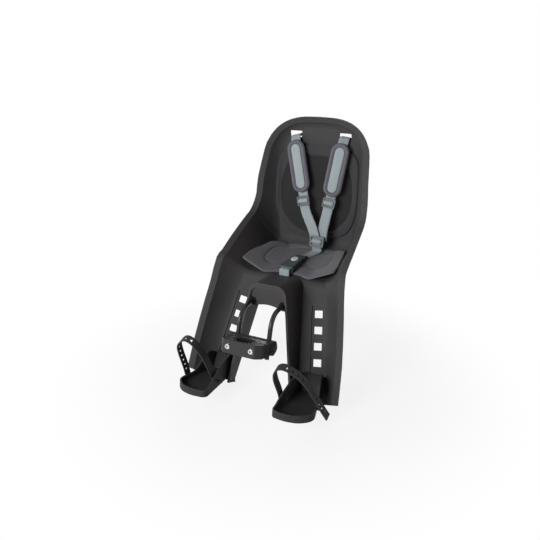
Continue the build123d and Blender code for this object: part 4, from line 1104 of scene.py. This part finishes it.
@dataclass
class ShoulderCushion:
    """A sewn foam cushion on a shoulder strap, with a woven patch on its front."""

    strap: StrapLine
    paint: Paint
    at: float = 78.0
    half_length: float = 65.0
    half_width: float = 23.0
    lift: float = 1.0
    patch_half_length: float = 54.0
    patch_half_width: float = 11.4
    patch_lift: float = 7.1
    patch_sink: float = 0.4
    swelling: Swelling = Swelling(1.4 * MM)
    arc: int = 14
    side: int = 22
    layers: tuple[Layer, ...] = (
        Layer(20.0, 0.3, True),
        Layer(12.0, 0.3, True),
        Layer(5.0, 0.3, True),
        Layer(1.4, 0.8, True),
        Layer(0.1, 2.8),
        Layer(0.2, 5.0),
        Layer(1.6, 7.2),
        Layer(4.2, 8.6),
        Layer(7.0, 8.4),
        Layer(9.2, 7.0),
        Layer(10.3, 6.2, True),
        Layer(11.2, 6.2, True),
        Layer(13.0, 6.7, True),
        Layer(16.0, 7.0, True),
        Layer(20.0, 7.1, True),
    )
    patch_layers: tuple[Layer, ...] = (
        Layer(9.0, 0.0),
        Layer(0.6, -0.5),
        Layer(0.0, 0.1),
        Layer(0.3, 0.8),
        Layer(1.3, 1.3),
        Layer(4.0, 1.6),
        Layer(9.0, 1.8),
    )

    def stadium(self, half_length: float, half_width: float) -> list[tuple[float, float]]:
        """Draw a long round-ended ring.

        Args:
            half_length: half its length in millimetres.
            half_width: half its width in millimetres.

        Returns:
            Its places as runs along and across.
        """
        straight = half_length - half_width
        ring: list[tuple[float, float]] = []
        for end in (1, -1):
            for step in range(self.arc):
                angle = math.pi * (step / self.arc - 0.5)
                ring.append((
                    end * (straight + half_width * math.cos(angle)), end * half_width * math.sin(angle)
                ))
            for step in range(self.side):
                ring.append((end * straight * (1 - 2 * step / self.side), end * half_width))
        return ring

    def skin(
        self, name: str, half_length: float, half_width: float, base: float, layers: tuple[Layer, ...]
    ) -> bpy.types.Object:
        """Skin one round-ended piece from its rings.

        Args:
            name: the piece's name.
            half_length: half its length in millimetres.
            half_width: half its width in millimetres.
            base: how far off the strap it starts.
            layers: its rings, with out as the inset from its edge.

        Returns:
            The piece, with its cloth's axes across and along it.
        """
        rings: list[Ring] = []
        places: list[list[tuple[float, float]]] = []
        for layer in layers:
            flat = self.stadium(half_length - layer.out, half_width - layer.out)
            lift = base + layer.height
            rings.append([self.strap.on_strap(self.at + run, lift, aside) for run, aside in flat])
            places.append([(aside * MM, run * MM) for run, aside in flat])
        return ring_piece(name, rings, places)

    def dress(self) -> None:
        """Build the cushion and its patch, colour them and put them in their places."""
        word = self.strap.side.word
        cushion = self.skin(
            f"{word}_shoulder_cushion", self.half_length, self.half_width, self.lift, self.layers
        )
        count = 2 * (self.arc + self.side)
        sewn = [
            row * count + step for row, layer in enumerate(self.layers) if layer.sewn for step in range(count)
        ]
        self.swelling.fill(cushion, sewn)
        soften(self.paint.coat(cushion, Finish.SHOULDER_PAD))
        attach(cushion, "seat")
        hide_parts(f"{word}_shoulder_pad")
        patch = self.skin(
            f"{word}_patch_cloth", self.patch_half_length, self.patch_half_width,
            self.lift + self.patch_lift - self.patch_sink, self.patch_layers,
        )
        soften(self.paint.coat(patch, Finish.PATCH))
        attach(patch, "seat")
        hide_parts(f"{word}_pad_patch")
        LOG.info("built %s and %s", cushion.name, patch.name)


@dataclass
class Harness:
    """The webbing: shoulder straps, lower straps with their loops, and the straps at the buckle."""

    paint: Paint
    straps: tuple[StrapLine, ...]
    slider_place: tuple[float, float, float] = (26.0, 338.2, 131.0)
    slider_lean: float = 13.5
    web_bend: float = 5.0 * MM
    behind: float = 14.0
    buckle_tilt: float = 4.54
    buckle_turn: float = 5.4
    buckle_place: tuple[float, float, float] = (-3.4, 213.0, 78.87)
    crotch: tuple[float, float] = (-3.0, 206.5)
    slot_run: tuple[float, float] = (2.0, 5.0)
    tail: float = 14.0
    adjuster_loop: tuple[tuple[float, float], ...] = (
        (-11.0, 2.6), (-6.6, 2.8), (-3.4, 9.6), (3.4, 9.6), (6.6, 2.8), (12.0, 2.8),
    )
    slider_loop: tuple[tuple[float, float], ...] = (
        (11.0, -3.5), (7.0, -3.2), (3.4, 3.7), (-3.4, 3.7), (-7.0, -3.2), (-12.0, -3.6),
    )
    loop_bend: float = 2.6 * MM
    loop_span: float = 2.0 * MM
    hanging: tuple[float, float, float] = (0.0, 0.1, -1.0)
    hanging_steps: int = 18
    sag: tuple[tuple[float, float, float], ...] = ((24.2, 348.0, 105.0), (22.5, 340.0, 101.6))
    tongue_fold: tuple[tuple[float, float], ...] = ((90.0, 12.6), (86.6, 18.4), (83.6, 19.3), (76.0, 19.1))
    tongue_bend: float = 6.0 * MM
    crotch_run: tuple[tuple[float, float], ...] = ((0.0, 60.0), (0.0, 95.0), (2.5, 97.0), (11.0, 97.6))
    crotch_bend: float = 3.0 * MM
    short_span: float = 3.0 * MM

    def lay(self, ribbon: Ribbon, node: str) -> None:
        """Build a strap, colour it and put it in its place.

        Args:
            ribbon: the strap.
            node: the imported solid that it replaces.
        """
        strap = self.paint.coat(ribbon.build(), Finish.WEBBING)
        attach(strap, "seat")
        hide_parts(node)
        LOG.info("built %s", ribbon.name)

    def slider_point(self, up: float, out: float) -> Vector:
        """Find a place at the slider.

        Args:
            up: its height along the slider, in millimetres.
            out: its distance off the slider's face.

        Returns:
            The place in metres.
        """
        lean = math.radians(self.slider_lean)
        rise = Vector((0, math.sin(lean), math.cos(lean)))
        face = Vector((0, -math.cos(lean), math.sin(lean)))
        return (Vector(self.slider_place) + rise * up + face * out) * MM

    def buckle_point(self, aside: float, back: float, up: float) -> Vector:
        """Find a place in the buckle's own directions.

        Args:
            aside: the run to the side, in millimetres.
            back: the run towards the back.
            up: the height.

        Returns:
            The place in metres.
        """
        tilt = math.radians(self.buckle_tilt)
        turn = math.radians(self.buckle_turn)
        slope = Vector((0, math.cos(tilt), math.sin(tilt)))
        lift = Vector((0, -math.sin(tilt), math.cos(tilt)))
        right = ACROSS * math.cos(turn) - slope * math.sin(turn)
        behind = ACROSS * math.sin(turn) + slope * math.cos(turn)
        return (Vector(self.buckle_place) + right * aside + behind * back + lift * up) * MM

    def shoulder(self, strap: StrapLine) -> None:
        """Lay one shoulder strap from its slot to below its adjuster.

        Args:
            strap: where it runs.
        """
        drop, out = self.slot_run
        corners = [
            strap.near_slot(drop, -self.behind),
            strap.near_slot(drop, out),
            strap.on_strap(strap.start[0], 0),
            strap.on_strap(strap.adjuster_at + self.tail, 0),
        ]
        word = strap.side.word
        ribbon = Ribbon(f"{word}_shoulder_web", rounded_path(corners, self.web_bend), strap.across)
        self.lay(ribbon, f"{word}_shoulder_strap")

    def lower(self, strap: StrapLine) -> None:
        """Lay one lower strap: round its adjuster's middle bar, then down behind the slider.

        Args:
            strap: where its shoulder strap runs.
        """
        loop = [strap.on_strap(strap.adjuster_at + run, lift) for run, lift in self.adjuster_loop]
        head = rounded_path(loop, self.loop_bend, span=self.loop_span)
        end = Vector(strap.lower_end) * MM
        pull = (end - head[-1]).length / 3
        arrive = Vector(self.hanging) * pull
        run = eased_curve(head[-1], strap.along * pull, arrive, end, self.hanging_steps)
        word = strap.side.word
        self.lay(Ribbon(f"{word}_lower_web", head + run, strap.across), f"{word}_lower_strap")

    def tongue(self) -> None:
        """Lay the strap from the slider's middle bar to the tongue, and fold it over the tongue's end."""
        loop = [self.slider_point(up, out) for up, out in self.slider_loop]
        head = rounded_path(loop, self.loop_bend, span=self.loop_span)
        fold = [head[-1]]
        fold += [Vector(place) * MM for place in self.sag]
        fold += [self.buckle_point(0, back, up) for back, up in self.tongue_fold]
        path = head[:-1] + rounded_path(fold, self.tongue_bend, span=self.short_span)
        self.lay(Ribbon("buckle_tongue_web", path, ACROSS), "tongue_strap")

    def crotch_web(self) -> None:
        """Lay the strap that comes up through the pan and wraps the buckle's front bar."""
        x, y = self.crotch
        corners = [Vector((x, y + back, height)) * MM for back, height in self.crotch_run]
        path = rounded_path(corners, self.crotch_bend, span=self.short_span)
        self.lay(Ribbon("buckle_crotch_web", path, ACROSS), "crotch_strap")

    def dress(self) -> None:
        """Lay every strap."""
        for strap in self.straps:
            self.shoulder(strap)
            self.lower(strap)
        self.tongue()
        self.crotch_web()


@dataclass(frozen=True)
class Lamp:
    """A soft square lamp, with its place counted from the seat's middle."""

    name: str
    place: tuple[float, float, float]
    size: float
    power: float
    colour: Colour

    def hang(self, aim: Vector) -> None:
        """Hang the lamp.

        Args:
            aim: the seat's middle, which the lamp looks at.
        """
        data = bpy.data.lights.new(self.name, "AREA")
        data.size = self.size
        data.energy = self.power
        data.color = self.colour
        lamp = bpy.data.objects.new(self.name, data)
        lamp.location = aim + Vector(self.place)
        lamp.rotation_euler = Vector(self.place).to_track_quat("Z", "Y").to_euler()
        bpy.context.scene.collection.objects.link(lamp)


@dataclass
class Studio:
    """Pale floor, white surround, soft lamps and the camera."""

    camera_place: tuple[float, float, float] = (0.466786, -0.899586, 0.555178)
    camera_right: tuple[float, float, float] = (0.908015, 0.418854, 0.008383)
    camera_up: tuple[float, float, float] = (-0.156638, 0.320873, 0.93408)
    camera_back: tuple[float, float, float] = (0.388553, -0.849471, 0.356966)
    lens: float = 37.333
    sensor: float = 36.0
    aim: tuple[float, float, float] = (0.0, 0.2, 0.13)
    floor_gap: float = 0.004
    floor_reach: float = 6.0
    surround: float = 0.03
    shadow_share: float = 0.16
    shadow_reach: tuple[float, float] = (0.25, 0.6)
    floor_colour: tuple[float, float, float, float] = (0.8, 0.8, 0.8, 1.0)
    lamps: tuple[Lamp, ...] = (
        Lamp("key", (-0.55, -2.1, 0.75), 1.0, 48.0, (1.0, 0.99, 1.0)),
        Lamp("strip", (-2.0, -0.5, 0.5), 0.9, 16.0, (1.0, 0.99, 1.0)),
        Lamp("side", (1.8, 0.3, 0.6), 1.0, 7.0, (1.0, 0.86, 0.76)),
        Lamp("rear", (-0.7, 2.1, 0.35), 1.2, 34.0, (1.0, 1.0, 1.0)),
    )

    def clear(self) -> None:
        """Remove what a new file starts with."""
        for leftover in list(bpy.data.objects):
            bpy.data.objects.remove(leftover)

    def build(self, floor_height: float) -> None:
        """Set the floor, the surround, the lamps and the camera.

        Args:
            floor_height: z of the object's lowest point, in metres.
        """
        bpy.context.scene.view_settings.view_transform = "Standard"
        self.add_floor(floor_height - self.floor_gap)
        self.add_surround()
        for lamp in self.lamps:
            lamp.hang(Vector(self.aim))
        self.add_camera()

    def add_floor(self, height: float) -> None:
        """Lay the floor: white to the camera apart from the object's shadow.

        Args:
            height: the floor's z in metres.
        """
        reach = self.floor_reach
        corners = [Vector((x * reach, y * reach, height)) for x, y in ((-1, -1), (1, -1), (1, 1), (-1, 1))]
        floor = mesh_piece("floor", corners, [[0, 1, 2, 3]])
        graph = Graph.of_material("pale_floor")
        lit = graph.node("ShaderNodeBsdfDiffuse", inputs={"Color": self.floor_colour})
        glow = graph.node("ShaderNodeEmission", inputs={"Color": WHITE, "Strength": 1.0})
        spot = graph.node("ShaderNodeNewGeometry", output="Position")
        middle = (0.0, self.aim[1], height)
        away = graph.node("ShaderNodeVectorMath", {"operation": "DISTANCE"}, {0: spot, 1: middle}, "Value")
        near = 1 - away.smooth_step(*self.shadow_reach)
        bright = graph.seen() * (1 - self.shadow_share * near)
        mixed = graph.node("ShaderNodeMixShader", inputs={0: bright, 1: lit, 2: glow})
        graph.node("ShaderNodeOutputMaterial", inputs={"Surface": mixed})
        floor.data.materials.append(graph.owner)
        floor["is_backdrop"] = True

    def add_surround(self) -> None:
        """Make the world white to the camera and in reflections, and dim as a light."""
        world = bpy.data.worlds.new("surround")
        bpy.context.scene.world = world
        graph = Graph(world)
        dim = graph.node("ShaderNodeBackground", inputs={"Strength": self.surround})
        white = graph.node("ShaderNodeBackground", inputs={"Color": WHITE})
        mixed = graph.node("ShaderNodeMixShader", inputs={0: graph.seen(), 1: dim, 2: white})
        graph.node("ShaderNodeOutputWorld", inputs={"Surface": mixed})

    def add_camera(self) -> None:
        """Stand the camera where the picture was taken."""
        data = bpy.data.cameras.new("camera")
        data.lens = self.lens
        data.sensor_width = self.sensor
        camera = bpy.data.objects.new("camera", data)
        axes = Matrix((self.camera_right, self.camera_up, self.camera_back)).transposed()
        camera.matrix_world = Matrix.Translation(self.camera_place) @ axes.to_4x4()
        bpy.context.scene.collection.objects.link(camera)
        bpy.context.scene.camera = camera


@dataclass
class SolidPieces:
    """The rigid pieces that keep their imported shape."""

    paint: Paint
    nodes: dict[str, bpy.types.Object]
    finishes: dict[Finish, tuple[str, ...]] = field(default_factory=lambda: {
        Finish.SHELL: ("seat_shell",),
        Finish.BAR: ("support_fork",),
        Finish.CLAMP: ("fork_saddle", "clamp_rear_block", "clamp_front_plate"),
        Finish.ZINC: ("saddle_screws", "clamp_bolts", "clamp_washers", "clamp_nuts"),
        Finish.SLEEVE: ("left_fork_sleeve", "right_fork_sleeve"),
        Finish.LINER: ("rear_clamp_liner", "front_clamp_liner"),
        Finish.BUTTON: ("left_release_button", "right_release_button"),
        Finish.FOOTREST: ("left_footrest", "right_footrest"),
        Finish.RUBBER: ("left_foot_strap", "right_foot_strap", "left_strap_studs", "right_strap_studs"),
        Finish.HARDWARE: (
            "left_strap_anchor", "right_strap_anchor", "crotch_anchor", "left_strap_adjuster",
            "right_strap_adjuster", "centre_slider", "buckle_body", "buckle_tongue",
        ),
        Finish.BUCKLE_BUTTON: ("buckle_button",),
    })

    def dress(self) -> None:
        """Give each rigid piece its finish."""
        for finish, names in self.finishes.items():
            for name in names:
                self.paint.coat(self.nodes[name], finish)
                LOG.info("dressed %s", name)


@dataclass(frozen=True)
class CoilSpring:
    """A spring under a button, copied from its imported coil into a piece of its own; nothing here shortens
    it.
    """

    name: str
    node: str
    joint: str
    axis: tuple[float, float, float]
    foot: tuple[float, float, float]
    length: float
    travel: float

    def dress(self, paint: Paint, nodes: dict[str, bpy.types.Object]) -> None:
        """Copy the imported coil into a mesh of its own, and put it in its place.

        Args:
            paint: the finishes' materials.
            nodes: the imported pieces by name.
        """
        solid = nodes[self.node]
        coil = bpy.data.objects.new(self.name, solid.data.copy())
        coil.matrix_world = solid.matrix_world.copy()
        bpy.context.scene.collection.objects.link(coil)
        paint.coat(coil, Finish.ZINC)
        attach(coil, "seat")
        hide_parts(self.node)
        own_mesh(coil)
        LOG.info("built %s", self.name)


SPRINGS = (
    CoilSpring(
        "left_release_coil", "left_release_spring", "left_release_press",
        axis=(1.0, 0.0, 0.0), foot=(0.0412, 0.0365, -0.0105), length=0.0091, travel=0.003,
    ),
    CoilSpring(
        "right_release_coil", "right_release_spring", "right_release_press",
        axis=(-1.0, 0.0, 0.0), foot=(-0.0412, 0.0365, -0.0105), length=0.0091, travel=0.003,
    ),
    CoilSpring(
        "buckle_coil", "button_spring", "buckle_press",
        axis=(0.0, -0.0792, 0.9969), foot=(0.0011, 0.2591, 0.1007), length=0.0041, travel=0.0025,
    ),
)


def foam_pads(paint: Paint, ground: Ground) -> tuple[FoamPad, FoamPad]:
    """Give the back pad and the seat pad.

    Args:
        paint: the finishes' materials.
        ground: the shell that they lie on.

    Returns:
        The two pads, not built yet.
    """
    under = (
        Layer(0.06, 0.3, True),
        Layer(0.55, 0.3, True),
        Layer(1.0, 0.3, True),
        Layer(1.5, 0.3, True),
        Layer(1.92, 0.3, True),
        Layer(1.985, 0.7, True),
        Layer(2.0, 1.6, True),
        Layer(2.0, 4.2, True),
        Layer(1.985, 5.4, True),
        Layer(1.93, 6.1),
    )
    back = FoamPad(
        name="back_cushion",
        node="back_pad",
        edge=Outline((
            (0, 353), (45, 351), (77, 343), (92, 333), (102, 319), (106, 300), (108, 258), (108, 213),
            (103, 180), (91, 153), (74, 138), (42, 124), (0, 118),
        )),
        line=Outline((
            (0, 328), (30, 327), (56, 321), (72, 311), (82, 296), (89, 271), (92, 238), (91, 212), (85, 186),
            (73, 168), (53, 150), (31, 140), (0, 134),
        )),
        middle=(0, 240),
        layers=under + (
            Layer(1.6, 7.2),
            Layer(1.3, 7.8),
            Layer(1.12, 7.6),
            Layer(1.06, 6.6),
            Layer(1.0, 4.4, True),
            Layer(0.985, 4.4, True),
            Layer(0.96, 5.2),
            Layer(0.9, 5.8),
            Layer(0.6, 6.8),
            Layer(0.3, 7.0),
            Layer(0.06, 7.0),
        ),
        ray=Vector((0, 1, 0)),
        paint=paint,
        ground=ground,
        finish=Finish.BACK_FOAM,
        panel=Finish.BACK_PANEL,
    )
    seat = FoamPad(
        name="seat_cushion",
        node="seat_pad",
        edge=Outline((
            (0, 222), (21, 221), (37, 217), (48, 211), (58, 208), (76, 209), (96, 210), (110, 211),
            (115.5, 212.5), (117, 218), (117, 232), (115, 252), (110, 286), (102, 334), (88, 358),
            (66, 372), (34, 378), (0, 379),
        )),
        line=Outline((
            (0, 258), (24, 258), (40, 254), (60, 248), (72, 249), (80, 257), (83, 275), (84, 300), (80, 324),
            (70, 342), (47, 359), (20, 367), (0, 368),
        )),
        middle=(0, 296),
        layers=under + (
            Layer(1.6, 7.0),
            Layer(1.2, 7.6),
            Layer(1.07, 7.6),
            Layer(1.03, 7.0),
            Layer(1.0, 6.0, True),
            Layer(0.985, 6.0, True),
            Layer(0.955, 7.0),
            Layer(0.92, 7.8),
            Layer(0.6, 8.3),
            Layer(0.3, 8.4),
            Layer(0.06, 8.4),
        ),
        ray=Vector((0, 0, -1)),
        paint=paint,
        ground=ground,
        finish=Finish.SEAT_FOAM_PAINTED_LIGHTER,
        panel=Finish.SEAT_FOAM_PAINTED_LIGHTER,
        wings=WingPlan(),
    )
    return back, seat


def main() -> None:
    """Build the seat's looks and the studio round it."""
    logging.basicConfig(level=logging.INFO)
    studio = Studio()
    studio.clear()
    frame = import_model()
    cad_low, cad_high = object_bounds()
    paint = Paint()
    nodes = frame["nodes"]
    SolidPieces(paint, nodes).dress()
    for spring in SPRINGS:
        spring.dress(paint, nodes)
    for pad in foam_pads(paint, Ground(nodes["seat_shell"])):
        pad.dress()
    straps = (
        StrapLine(Side.LEFT, lean=7.0, adjuster_at=158.0, lower_end=(35.0, 349.0, 131.0)),
        StrapLine(Side.RIGHT, lean=15.0, adjuster_at=163.0, lower_end=(19.0, 343.6, 131.0)),
    )
    for strap in straps:
        ShoulderCushion(strap, paint).dress()
    Harness(paint, straps).dress()
    studio.build(cad_low.z)


if __name__ == "__main__":
    main()
